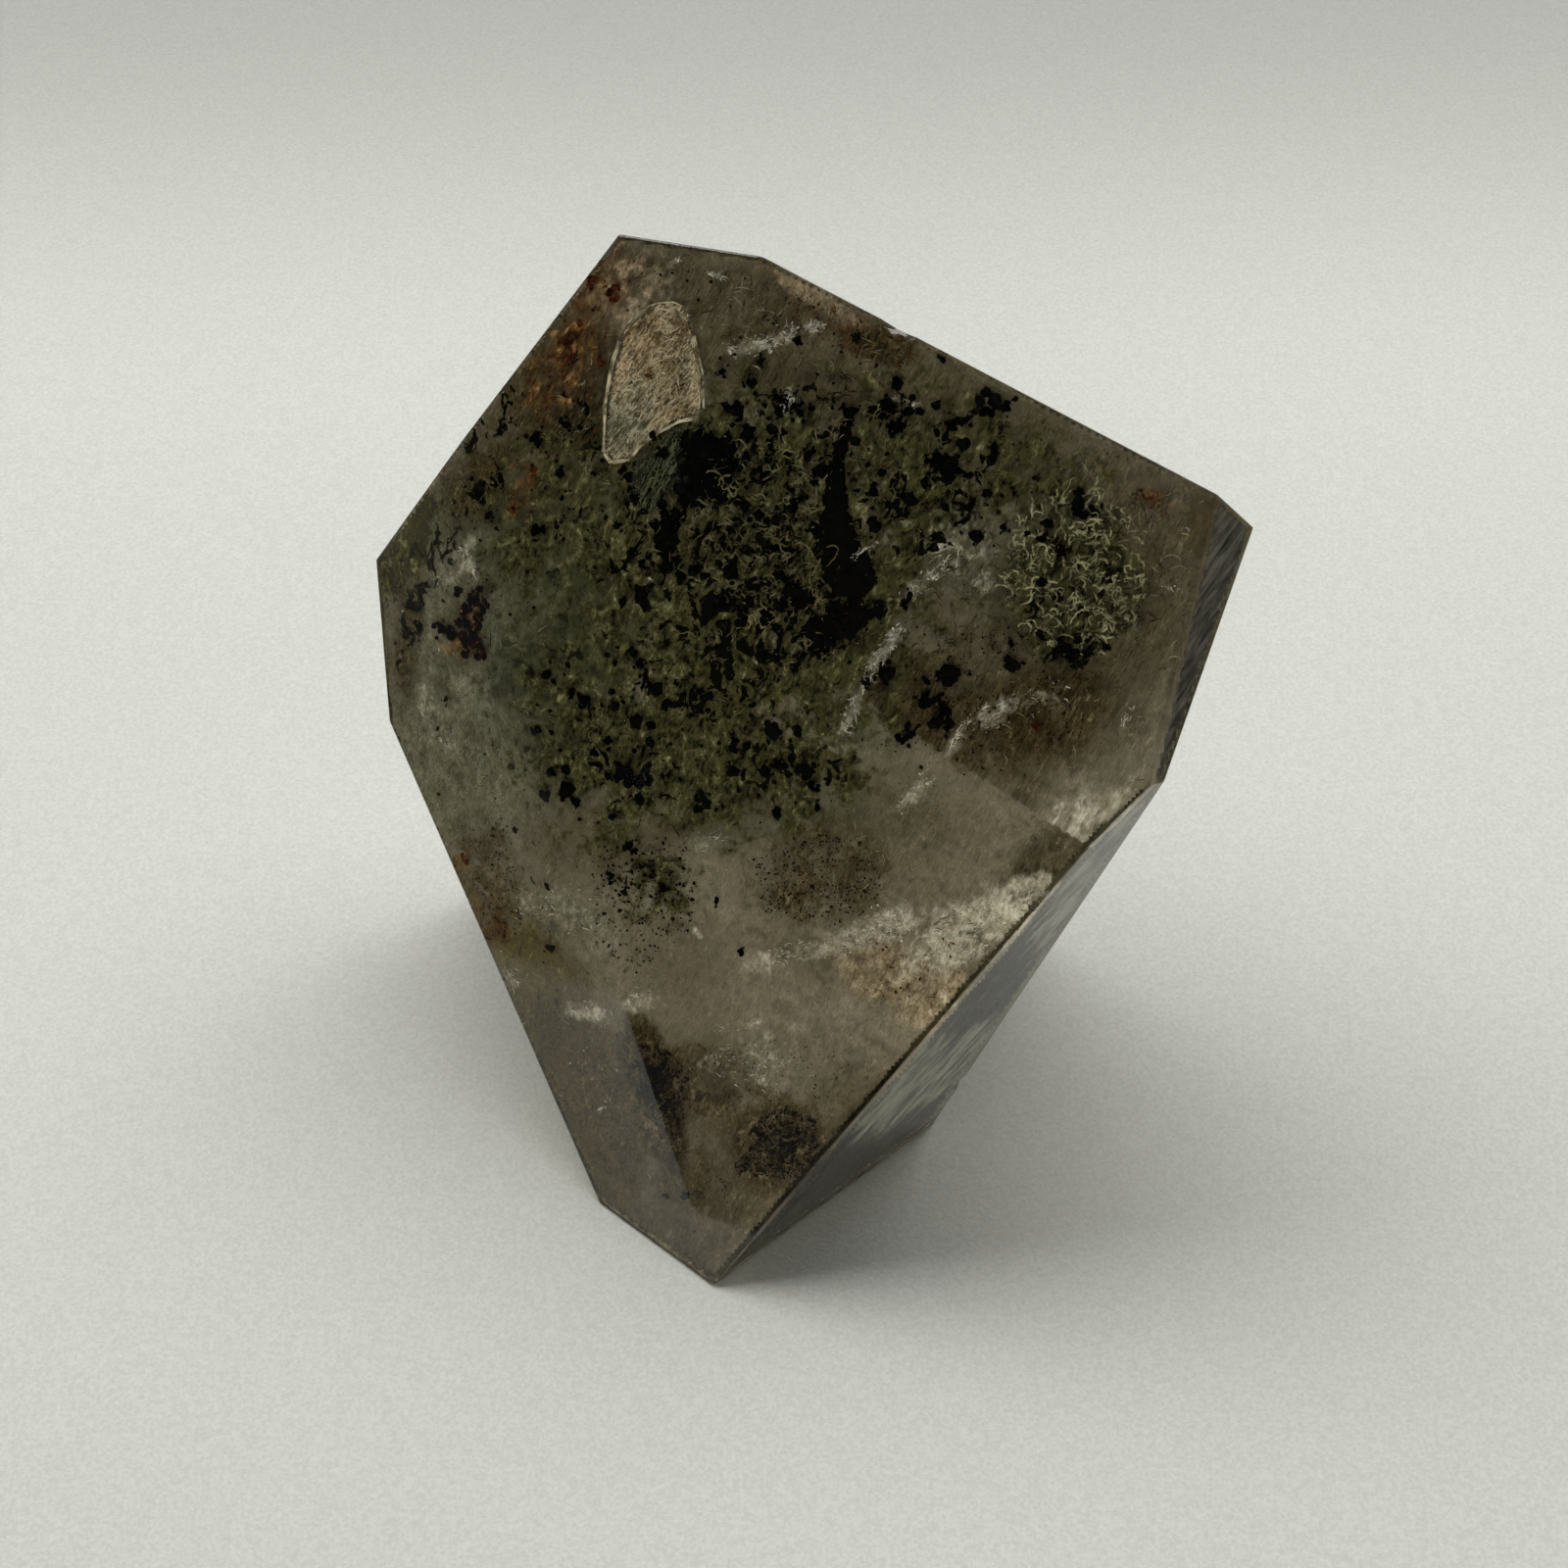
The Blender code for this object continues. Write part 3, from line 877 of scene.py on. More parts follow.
specks = {
    "single": [  # place in the picture, width in mm
        (559, 686, 1.0), (565, 693, 0.7), (584, 706, 1.2), (597, 713, 1.2), (628, 721, 0.9),
        (579, 806, 2.0), (556, 810, 1.5), (638, 788, 2.2), (621, 790, 1.0), (647, 665, 1.0),
        (653, 676, 0.9), (637, 612, 1.0), (547, 539, 1.2), (571, 483, 1.0), (577, 434, 1.1),
        (546, 446, 1.3), (641, 489, 0.8), (647, 510, 1.2), (655, 574, 0.8), (629, 538, 0.8),
        (675, 515, 1.0), (696, 499, 1.8), (500, 523, 0.9), (775, 370, 0.8), (765, 392, 1.0),
        (736, 380, 0.8), (813, 348, 0.9), (795, 421, 1.3), (787, 439, 1.2), (815, 421, 1.0),
        (807, 477, 1.0), (825, 464, 1.0), (808, 520, 1.3), (865, 419, 1.3), (916, 392, 1.2),
        (906, 415, 1.6), (912, 436, 1.4), (926, 420, 1.2), (937, 420, 0.8), (1015, 411, 1.9),
        (969, 436, 0.9), (983, 453, 1.0), (969, 477, 1.9), (1015, 464, 1.5), (907, 516, 0.9),
        (753, 480, 0.8), (905, 688, 1.7), (884, 696, 1.0), (967, 689, 1.9), (1032, 680, 1.5),
        (927, 610, 1.2), (927, 750, 1.4), (789, 744, 1.5), (824, 785, 1.8), (797, 781, 1.6),
        (830, 803, 1.1), (1031, 657, 0.8), (643, 862, 1.0), (722, 819, 1.2), (748, 785, 1.3),
        (781, 787, 1.3), (757, 971, 0.9), (732, 919, 0.7), (624, 892, 0.9), (560, 903, 0.7),
        (677, 905, 1.2), (1063, 550, 1.0), (1100, 515, 1.5), (1114, 520, 1.0), (1075, 668, 1.4),
        (1094, 668, 1.3), (1110, 664, 1.1), (1125, 595, 0.6), (1085, 662, 1.2), (873, 345, 1.2),
        (960, 365, 0.9), (700, 455, 1.6), (712, 470, 2.0), (722, 490, 1.8), (704, 478, 1.6),
        (688, 530, 1.3), (679, 548, 1.3), (810, 605, 1.6), (796, 618, 1.4), (825, 640, 1.8),
        (780, 596, 1.2), (764, 612, 1.2), (748, 586, 1.0), (946, 718, 1.3), (957, 737, 1.2),
        (967, 727, 0.9),
    ],
    "clouds": [  # outline, specks, lifts off the crust, widths
        dict(outline=[(660, 440), (760, 400), (880, 420), (900, 560), (860, 660), (760, 640), (680, 590)],
             count=120, lift=(0.1, 0.7), width=(0.3, 1.4)),
        dict(outline=[(540, 680), (640, 660), (760, 700), (850, 740), (840, 830), (700, 850), (560, 840)],
             count=80, lift=(0.1, 0.6), width=(0.2, 1.2)),
        dict(outline=[(880, 380), (1060, 420), (1130, 520), (1060, 600), (940, 560), (880, 480)],
             count=60, lift=(0.1, 0.6), width=(0.2, 1.2)),
        dict(outline=[(610, 860), (690, 850), (720, 900), (690, 940), (630, 930)], count=160, lift=(0.0, 0.6),
             width=(0.1, 0.4)),
        dict(outline=[(440, 520), (560, 420), (640, 430), (640, 560), (520, 640)], count=90, lift=(0.0, 0.6),
             width=(0.12, 0.5)),
        dict(outline=[(560, 640), (700, 620), (900, 660), (1080, 640), (1100, 740), (950, 790), (740, 830),
                      (560, 760)],
             count=130, lift=(0.0, 0.6), width=(0.1, 0.5)),
        dict(outline=[(660, 270), (780, 285), (900, 360), (880, 420), (740, 420), (720, 330)], count=90,
             lift=(0.0, 0.5), width=(0.08, 0.35)),
    ],
}


def speckFinish(name, dark, light):
    f = Finish(name, dark)
    colour = f.ramp(f.cloud(0.8 * mm, detail=4.0), (0.45, dark), (0.7, light))
    return f.done(f.coat(colour, 0.55, f.cloud(0.25 * mm), 0.1 * mm))


def makeSpecks():
    rand = np.random.default_rng(21)
    heap = Heap()
    for px, py, width in specks["single"]:
        size = width * mm
        place = onCrust(px, py, 0.35 * size + 0.1 * mm)
        addGrain(heap, rand, place, size * 0.85, flat=0.6)
        addCluster(heap, rand, place, size, 5, 0.30, (0.25, 0.6), flat=0.8)
    for cloud in specks["clouds"]:
        low, high = cloud["width"]
        for _ in range(cloud["count"]):
            px, py = pickIn(rand, cloud["outline"])
            place = onCrust(px, py, rand.uniform(*cloud["lift"]) * mm)
            addGrain(heap, rand, place, (low + (high - low) * rand.random() ** 2.2) * mm, rough=0.45)
    heap.piece("black_specks", speckFinish("black specks", (0.002, 0.002, 0.002), (0.006, 0.006, 0.005)),
               smooth=False)


# painted shade: near-black sheets just over the crust, where light is blocked deep in the moss
hollowShade = {
    "sheets": [  # outline, how far its edge thins out
        ([(868, 412), (876, 420), (869, 446), (863, 478), (868, 516), (880, 552), (894, 572), (897, 598),
          (880, 614), (852, 612), (836, 592), (832, 540), (840, 490), (850, 446)], 9),
        ([(806, 674), (816, 640), (850, 618), (874, 608), (906, 608), (912, 636), (886, 646), (866, 666),
          (836, 676)], 26),
        ([(682, 446), (714, 430), (752, 456), (756, 500), (726, 528), (690, 520), (674, 480)], 34),
        ([(664, 530), (690, 520), (690, 560), (672, 572)], 14),
    ],
    "lift": 0.35 * mm,
    "colour": (0.003, 0.003, 0.002),
}


def makeHollowShade():
    # the sheets paint the shade of the hollows black
    heap = Heap()
    for outline, soft in hollowShade["sheets"]:
        addSheet(heap, outline, lambda px, py, place: crustDepth(place) - hollowShade["lift"], step=3,
                 soft=soft)
    f = Finish("painted hollow shade", (0.004, 0.004, 0.003))
    patches = f.cloud(0.8 * mm, detail=3.0, rough=0.6, warp=0.8)
    alpha = f.clip(f.mark() + patches * 2.2, 1.25, 1.42)
    heap.piece("painted_hollow_shade", f.done(f.coat(hollowShade["colour"], 0.9, patches, 0.3 * mm, Alpha=alpha)))


makeSpecks()
makeHollowShade()
makeBackGrowth()


rust = {
    "flakes": [
        dict(outline=[(560, 330), (640, 262), (680, 280), (650, 360), (600, 460), (540, 490)], count=120),
        dict(outline=[(520, 460), (544, 456), (548, 530), (528, 535)], count=36),
        dict(outline=[(450, 590), (500, 595), (500, 670), (455, 665)], count=40),
        dict(outline=[(800, 290), (870, 320), (935, 345), (930, 380), (860, 360), (800, 320)], count=160),
        dict(outline=[(470, 840), (520, 840), (535, 950), (500, 956)], count=34),
        dict(outline=[(890, 960), (980, 950), (1000, 990), (940, 1030), (880, 1020)], count=36),
        dict(outline=[(1160, 500), (1195, 505), (1190, 525), (1160, 520)], count=40),
    ],
    "spots": [(624, 296, 1.4), (604, 290, 1.0), (577, 350, 0.9), (581, 366, 0.8), (610, 371, 1.1),
              (543, 480, 1.0), (476, 874, 0.9), (1058, 738, 0.7), (663, 385, 0.9), (592, 330, 0.8)],
    "lift": (0.0, 0.5),  # of the flakes off the crust, in mm
    "size": (0.12, 0.6),  # of the flakes, in mm
    "colours": [(0.40, (0.022, 0.008, 0.004)), (0.52, (0.075, 0.034, 0.013)), (0.64, (0.20, 0.11, 0.048))],
}


def makeRust():
    rand = np.random.default_rng(31)
    heap = Heap()
    for field in rust["flakes"]:
        for _ in range(field["count"]):
            px, py = pickIn(rand, field["outline"])
            place = onCrust(px, py, rand.uniform(*rust["lift"]) * mm)
            addFlake(heap, rand, place, rand.uniform(*rust["size"]) * mm)
    f = Finish("rust flakes", (0.4, 0.16, 0.05))
    colour = f.ramp(f.cloud(1.2 * mm, detail=4.0), *rust["colours"])
    heap.piece("rust_flakes", f.done(f.coat(colour, 0.5, f.cloud(0.2 * mm), 0.05 * mm)), smooth=False)

    heap = Heap()
    for px, py, width in rust["spots"]:
        addCluster(heap, rand, onCrust(px, py, 0.4 * mm), width * mm, 5, 0.25, (0.3, 0.7), rough=0.4)
    heap.piece("red_brown_spots", speckFinish("red brown spots", (0.035, 0.008, 0.003), (0.13, 0.038, 0.012)),
               smooth=False)


redSpecks = {
    "lumps": [(486, 606, 1.5), (491, 618, 1.7), (484, 628, 1.8), (489, 640, 1.8), (476, 642, 1.6),
              (466, 645, 1.4), (452, 641, 1.2), (489, 664, 1.4), (478, 616, 1.2), (494, 628, 1.2),
              (471, 602, 0.9), (486, 652, 1.6), (448, 636, 0.9), (459, 640, 1.0), (480, 658, 1.2),
              (495, 610, 0.9)],
    "colours": [(0.52, (0.002, 0.001, 0.001)), (0.62, (0.035, 0.010, 0.004)), (0.72, (0.22, 0.10, 0.035))],
}


def makeRedSpecks():
    rand = np.random.default_rng(33)
    heap = Heap()
    for px, py, width in redSpecks["lumps"]:
        addCluster(heap, rand, onCrust(px, py, 0.5 * mm), width * mm, 6, 0.30, (0.3, 0.7), rough=0.45)
    f = Finish("red black specks", (0.02, 0.006, 0.004))
    colour = f.ramp(f.cloud(0.7 * mm, detail=4.0), *redSpecks["colours"])
    heap.piece("red_specks", f.done(f.coat(colour, 0.5, f.cloud(0.3 * mm), 0.1 * mm)), smooth=False)


creamFilm = {
    "outline": [(664, 310), (690, 305), (702, 318), (712, 345), (717, 380), (715, 424), (690, 432),
                (665, 447), (642, 468), (626, 474), (616, 462), (615, 430), (624, 380), (636, 335)],
    "below": [(715, 424), (690, 432), (665, 447), (642, 468), (640, 520), (668, 540), (694, 500), (706, 456)],
    "orange": [(664, 345, 30, 36, 10, 0.8), (690, 400, 16, 26, 0, 0.5)],  # tints, as ovals
    "green": [(640, 432, 26, 34, 10, 1.0)],
    "lift": 0.9 * mm,
    "follows": 0.35,  # how much of the crust's lumps it follows
    "ripple": dict(ripple=0.25 * mm, rippleSize=1.2 * mm),
    "wrinkles": 300,
    "wrinkleLift": 0.15 * mm,
    "colours": [(0.43, (0.055, 0.043, 0.020)), (0.5, (0.23, 0.19, 0.115)), (0.57, (0.62, 0.56, 0.41))],
    "orangeColours": [(0.42, (0.10, 0.045, 0.016)), (0.58, (0.52, 0.36, 0.19))],
    "greenColours": [(0.42, (0.05, 0.052, 0.030)), (0.58, (0.34, 0.34, 0.25))],
    "belowColours": [(0.40, (0.012, 0.014, 0.006)), (0.5, (0.036, 0.040, 0.021)),
                     (0.60, (0.10, 0.108, 0.070))],
    "rims": [  # lines of the film, as places in the picture
        [(616, 462), (626, 475), (641, 470), (655, 454), (672, 441), (690, 432), (706, 429), (714, 425)],
        [(640, 330), (652, 315), (670, 308), (688, 305), (700, 316)],
        [(652, 330), (662, 322), (676, 316), (690, 318), (700, 332), (706, 352), (710, 376), (713, 400),
         (714, 424)],
        [(704, 330), (711, 352), (716, 380), (716, 404), (715, 424)],
        [(616, 462), (614, 440), (618, 410), (626, 372), (636, 338)],
    ],
}


def filmDepth(px, py, place):
    follows = creamFilm["follows"]
    return crustDepth(place) * follows + (crust["depth"] - creamFilm["lift"]) * (1 - follows)


def onFilm(px, py, lift):
    # a point that stands out in front of the film by lift
    place, way = wayIn(px, py)
    return goIn(place, way, filmDepth(px, py, place) - lift)


def makeCreamFilm():
    heap = Heap()
    addSheet(heap, creamFilm["outline"], filmDepth, step=2.5, soft=7, seed=41.0, **creamFilm["ripple"],
             marks={"orange": creamFilm["orange"], "green": creamFilm["green"]})
    f = Finish("cream film", (0.6, 0.55, 0.42))
    hair = f.cloud(0.20 * mm, detail=4.0, rough=0.7, warp=0.8, at=f.alongGrain(5.0, 50.0))
    large = f.cloud(2.2 * mm, detail=4.0)
    colour = f.ramp(hair * 0.6 + large * 0.4, *creamFilm["colours"])
    orange = f.clip(large, 0.53, 0.62) * 0.5 + f.mark("orange") * 0.5
    colour = f.mix(orange, colour, f.ramp(hair, *creamFilm["orangeColours"]))
    colour = f.mix(f.mark("green") * 0.7, colour, f.ramp(hair, *creamFilm["greenColours"]))
    alpha = f.clip(f.mark() * 0.6 + hair * 0.6 + large * 0.4, 0.50, 1.0)
    heap.piece("cream_film", f.done(f.coat(colour, 0.5, hair, 0.2 * mm, Alpha=alpha)))

    heap = Heap()
    addSheet(heap, creamFilm["below"], filmDepth, step=3, soft=14, seed=42.0, **creamFilm["ripple"])
    f = Finish("grey green film", (0.35, 0.38, 0.30))
    hair = f.cloud(0.25 * mm, detail=4.0, rough=0.7, warp=0.8, at=f.alongGrain(5.0, 62.0))
    colour = f.ramp(hair, *creamFilm["belowColours"])
    alpha = f.clip(f.mark() * 0.6 + hair, 0.6, 1.2)
    heap.piece("grey_green_film", f.done(f.coat(colour, 0.5, hair, 0.2 * mm, Alpha=alpha)))

    rand = np.random.default_rng(43)
    heap = Heap()
    for line in creamFilm["rims"]:
        for _ in range(2 if line[0][1] < 340 else 4):  # more strands along its lower and left sides
            line = [(px + rand.normal() * 1.3, py + rand.normal() * 1.1) for px, py in line]
            path = [onFilm(ax + (bx - ax) * t, ay + (by - ay) * t, rand.uniform(0.1, 0.3) * mm)
                    for (ax, ay), (bx, by) in zip(line, line[1:]) for t in (0.0, 0.33, 0.66)]
            addTube(heap, path, rand.uniform(0.07, 0.19) * mm)
    for _ in range(creamFilm["wrinkles"]):
        px, py = pickIn(rand, creamFilm["outline"])
        start = onFilm(px, py, creamFilm["wrinkleLift"])
        steps = int(np.clip(edgeGap(px, py, creamFilm["outline"]) / 3.0, 2, 9))  # short near the edge
        path = curl(rand, start, steps, rand.uniform(0.15, 0.3) * mm, 0.3, wayIn(px, py)[1], run=50,
                    spread=0.4)
        addTube(heap, path, rand.uniform(0.04, 0.12) * mm, sides=4)
    heap.piece("cream_film_rim", threadFinish("cream rim", (0.13, 0.10, 0.055), (0.66, 0.60, 0.45), 1.3 * mm))


makeRust()
makeRedSpecks()
makeCreamFilm()


veils = {
    "streaks": [  # from, to, width across in the picture, bits, widths
        ((921, 638), (884, 690), 7, 288, (0.19, 0.94)),
        ((884, 690), (862, 742), 6, 156, (0.19, 0.85)),
        ((742, 360), (812, 341), 8, 360, (0.19, 0.94)),
        ((823, 336), (840, 332), 4, 72, (0.19, 0.75)),
        ((785, 975), (850, 962), 9, 204, (0.19, 0.85)),
        ((850, 962), (929, 935), 14, 504, (0.19, 0.94)),
        ((915, 822), (948, 794), 8, 96, (0.15, 0.62)),
        ((966, 768), (992, 736), 7, 40, (0.14, 0.58)),
        ((994, 742), (1036, 714), 13, 84, (0.14, 0.58)),
        ((1046, 722), (1086, 700), 12, 60, (0.14, 0.58)),
        ((1144, 742), (1153, 721), 3, 36, (0.19, 0.56)),
        ((612, 1133), (623, 1118), 3, 40, (0.15, 0.55)),
        ((723, 1052), (781, 1040), 4, 72, (0.15, 0.56)),
        ((730, 1080), (796, 1096), 16, 150, (0.11, 0.53)),
        ((583, 1026), (627, 1036), 12, 40, (0.10, 0.42)),
        ((642, 1014), (664, 1022), 7, 56, (0.12, 0.5)),
        ((525, 915), (605, 940), 18, 192, (0.11, 0.53)),
        ((512, 985), (530, 1005), 6, 72, (0.15, 0.56)),
        ((662, 1188), (669, 1268), 2, 14, (0.11, 0.30)),
        ((473, 556), (486, 584), 6, 108, (0.19, 0.75)),
        ((444, 592), (450, 586), 2, 19, (0.19, 0.65)),
        ((430, 700), (455, 760), 10, 72, (0.11, 0.47)),
        ((684, 272), (692, 266), 3, 36, (0.19, 0.65)),
        ((722, 277), (738, 285), 4, 60, (0.19, 0.75)),
        ((921, 612), (966, 572), 7, 156, (0.15, 0.75)),
        ((868, 570), (895, 553), 3, 60, (0.15, 0.65)),
        ((804, 402), (802, 416), 6, 108, (0.19, 0.75)),
        ((903, 404), (937, 414), 3, 108, (0.15, 0.65)),
        ((1180, 596), (1210, 604), 3, 14, (0.22, 0.75)),
        ((1037, 920), (1066, 908), 6, 144, (0.19, 0.85)),
        ((958, 968), (1025, 940), 14, 240, (0.15, 0.65)),
        ((698, 374), (698, 386), 3, 28, (0.22, 0.75)),
        ((708, 946), (714, 952), 3, 19, (0.22, 0.85)),
        ((662, 590), (666, 592), 2, 9, (0.28, 0.85)),
        ((700, 860), (740, 850), 12, 72, (0.10, 0.47)),
    ],
    "share": 0.9,  # how many of the bits are made
    "flakes": 0.55,  # how many of them are flakes; the rest are threads
    "threads": dict(steps=(3, 7), stride=(0.06, 0.18), width=(0.03, 0.11), turning=0.2, spread=0.22),
    "clumps": (0.9, -0.15),  # their size in mm, and the noise below which nothing grows
    "lift": (0.15, 0.9),  # off the crust, in mm
    "colours": [(0.42, (0.20, 0.18, 0.13)), (0.50, (0.52, 0.49, 0.41)), (0.58, (0.92, 0.90, 0.84))],
    "glow": (0.5, 0.48, 0.42),
    "sparkles": dict(count=300, size=(0.05, 0.18),
                     outline=[(410, 560), (640, 260), (780, 275), (1250, 520), (1180, 800), (1105, 860),
                              (740, 1290), (620, 1220), (405, 740)]),
}


tanFibres = {
    "look": dict(lift=(-0.1, 0.35), steps=(5, 11), stride=(0.10, 0.22), width=(0.03, 0.10), turning=0.18,
                 spread=0.45, clumps=(2.5, -0.1)),
    "fields": [  # outline, threads, direction
        dict(outline=[(560, 380), (640, 255), (700, 262), (660, 330), (620, 420), (570, 470)], threads=110,
             run=40),
        dict(outline=[(700, 300), (780, 275), (900, 335), (930, 380), (860, 400), (740, 340)], threads=260,
             run=28),
        dict(outline=[(1000, 400), (1240, 520), (1240, 600), (1180, 760), (1130, 700), (1180, 560)],
             threads=130, run=62),
        dict(outline=[(870, 960), (960, 930), (1060, 900), (1030, 960), (960, 1030), (880, 1020)],
             threads=300, run=35),
        dict(outline=[(420, 500), (520, 430), (560, 600), (520, 860), (430, 740)], threads=160, run=60),
        dict(outline=[(1000, 700), (1150, 690), (1180, 780), (1100, 850), (1020, 800)], threads=120, run=50),
        dict(outline=[(560, 880), (700, 870), (740, 1000), (640, 1040), (560, 980)], threads=90, run=55),
        dict(outline=[(828, 420), (868, 430), (850, 540), (826, 540)], threads=40, run=78),
        dict(outline=[(780, 855), (890, 838), (905, 930), (810, 945)], threads=90, run=50),
        dict(outline=[(430, 560), (620, 480), (650, 700), (480, 720)], threads=90, run=48),
    ],
}


def makeTanFibres():
    rand = np.random.default_rng(57)
    heap = Heap()
    for field in tanFibres["fields"]:
        addThreads(heap, rand, **field, **tanFibres["look"])
    heap.piece("tan_fibres", threadFinish("tan fibres", (0.06, 0.048, 0.030), (0.36, 0.315, 0.225), 1.6 * mm))


def addStreak(heap, rand, start, end, across, count, size):
    # flakes and short threads gathered along a line of the picture
    (ax, ay), (bx, by), (low, high), (clump, least) = start, end, size, veils["clumps"]
    length = math.hypot(bx - ax, by - ay)
    run = math.degrees(math.atan2(ay - by, bx - ax))
    for _ in range(int(count * veils["share"])):
        t, off = rand.random(), rand.normal() * across * 0.6
        px = ax + (bx - ax) * t - (by - ay) / length * off
        py = ay + (by - ay) * t + (bx - ax) / length * off
        place = onCrust(px, py, rand.uniform(*veils["lift"]) * mm)
        if place is None or noise.fractal(place / (clump * mm), 0.6, 2.0, 2) <= least:
            continue
        if rand.random() < veils["flakes"]:
            wide = (low + (high - low) * rand.random() ** 3) * 0.7 * mm
            addFlake(heap, rand, place, wide, thin=0.4, tip=0.5)
        else:
            addThread(heap, rand, place, wayIn(px, py)[1], run=run, **veils["threads"])


def makeVeils():
    rand = np.random.default_rng(51)
    heap = Heap()
    for streak in veils["streaks"]:
        addStreak(heap, rand, *streak)
    field = veils["sparkles"]
    for _ in range(field["count"]):
        px, py = pickIn(rand, field["outline"])
        place = onCrust(px, py, rand.uniform(0.0, 0.8) * mm)
        addFlake(heap, rand, place, rand.uniform(*field["size"]) * mm, thin=0.4)
    f = Finish("white veil flakes", (0.8, 0.8, 0.76))
    colour = f.ramp(f.cloud(0.8 * mm, detail=3.0), *veils["colours"])
    surface = f.blend(0.35, f.body({"Base Color": colour, "Roughness": 0.35}), f.glow(veils["glow"]))
    heap.piece("white_veils", f.done(surface), smooth=False)


brownGrains = {
    "clouds": [  # outline, grains, widths
        dict(outline=[(775, 1140), (800, 1128), (832, 1140), (838, 1180), (815, 1205), (785, 1200),
                      (745, 1192), (765, 1170)],
             count=900, width=(0.06, 0.32)),
        dict(outline=[(652, 1060), (690, 1075), (705, 1100), (700, 1140), (690, 1190), (684, 1190),
                      (664, 1120)],
             count=800, width=(0.06, 0.30)),
        dict(outline=[(700, 1060), (800, 1060), (870, 1080), (840, 1130), (760, 1130), (700, 1110)],
             count=350, width=(0.05, 0.18)),
        dict(outline=[(768, 870), (830, 845), (896, 860), (900, 920), (850, 945), (780, 930)], count=800,
             width=(0.05, 0.26)),
        dict(outline=[(600, 860), (700, 850), (720, 940), (640, 1000), (610, 950)], count=500,
             width=(0.05, 0.26)),
        dict(outline=[(860, 640), (1100, 640), (1120, 740), (1000, 800), (900, 740)], count=500,
             width=(0.05, 0.26)),
        dict(outline=[(470, 840), (520, 830), (538, 950), (500, 956)], count=300, width=(0.05, 0.24)),
        dict(outline=[(540, 1020), (580, 1020), (610, 1180), (590, 1190)], count=200, width=(0.05, 0.2)),
        dict(outline=[(440, 560), (700, 500), (1100, 560), (1080, 760), (700, 900), (440, 860)], count=1300,
             width=(0.04, 0.16)),
    ],
    "rough": 0.35,
    "lift": (0.0, 0.4),  # off the crust, in mm
}


def makeBrownGrains():
    rand = np.random.default_rng(61)
    heap = Heap()
    corners = ball[:12]
    for cloud in brownGrains["clouds"]:
        low, high = cloud["width"]
        for _ in range(cloud["count"]):
            px, py = pickIn(rand, cloud["outline"])
            size = (low + (high - low) * rand.random() ** 2) * mm
            lump = corners * (1 + brownGrains["rough"] * (rand.random(12)[:, None] * 2 - 1)) * size / 2
            place = onCrust(px, py, rand.uniform(*brownGrains["lift"]) * mm)
            heap.add(np.asarray(place) + lump, plainBallFaces)
    heap.piece("brown_grains", speckFinish("brown black grains", (0.004, 0.003, 0.002), (0.03, 0.02, 0.013)),
               smooth=False)


haze = {
    "outline": [(560, 900), (760, 960), (960, 860), (1040, 900), (930, 1050), (800, 1180), (730, 1240),
                (640, 1160), (580, 1040)],
    "depth": 6.0 * mm,
    "ripple": 2.0 * mm,
    "colours": [(0.36, (0.13, 0.10, 0.07)), (0.5, (0.30, 0.27, 0.21)), (0.64, (0.46, 0.44, 0.38))],
    "glow": (0.34, 0.31, 0.25),
}


def makeHaze():
    heap = Heap()
    addSheet(heap, haze["outline"], haze["depth"], step=8, soft=60, ripple=haze["ripple"], rippleSize=9 * mm,
             seed=60.0)
    f = Finish("smoky haze", (0.45, 0.40, 0.33))
    streaks = f.cloud(3.0 * mm, detail=8.0, rough=0.72, warp=0.5, at=f.alongGrain(2.5))
    large = f.cloud(9 * mm, detail=3.0)
    colour = f.ramp(streaks * 0.6 + large * 0.4, *haze["colours"])
    solid = f.blend(0.5, f.body({"Base Color": colour, "Roughness": 0.8}), f.glow(haze["glow"]))
    cover = f.clip(f.mark() * 0.5 + streaks * 0.5 + large * 0.5, 0.72, 1.35)
    heap.piece("smoky_haze", f.done(f.blend(cover, f.clear(), solid)))


sideStreaks = {
    "side": [(1186, 799), (1174, 804), (1114, 864), (733, 1306), (950, 1146)],
    "narrow": [(1277, 540), (1243, 508), (1176, 800), (1187, 796)],
    "depth": 0.42 * mm,
    "ripple": dict(ripple=0.05 * mm, rippleSize=2 * mm),
    "run": 50.0,  # degrees up from level in the picture
    "marks": {
        "dark": [(1015, 1010, 80, 22, -48, 1.0), (1060, 960, 60, 12, -48, 0.8),
                 (860, 1190, 90, 26, -48, 0.6), (930, 1150, 40, 14, -48, 0.7),
                 (780, 1265, 60, 16, -48, 0.6), (1180, 700, 8, 90, 12, 0.6)],
        "light": [(1120, 900, 90, 40, -48, 1.0), (920, 1105, 60, 22, -48, 1.4),
                  (985, 1080, 60, 16, -48, 0.8), (1215, 660, 40, 190, 14, 0.6),
                  (1120, 880, 60, 40, -48, 1.0)],
        "plain": [(1215, 660, 60, 220, 14, 1.0)],
    },
    "colours": {
        "all": [(0.42, (0.001, 0.001, 0.001)), (0.5, (0.020, 0.018, 0.011)), (0.58, (0.12, 0.11, 0.08))],
        "dark": [(0.42, (0.002, 0.001, 0.001)), (0.58, (0.022, 0.017, 0.014))],
        "light": [(0.42, (0.07, 0.071, 0.053)), (0.58, (0.26, 0.265, 0.21))],
        "plain": [(0.42, (0.045, 0.040, 0.034)), (0.58, (0.15, 0.14, 0.12))],
    },
}


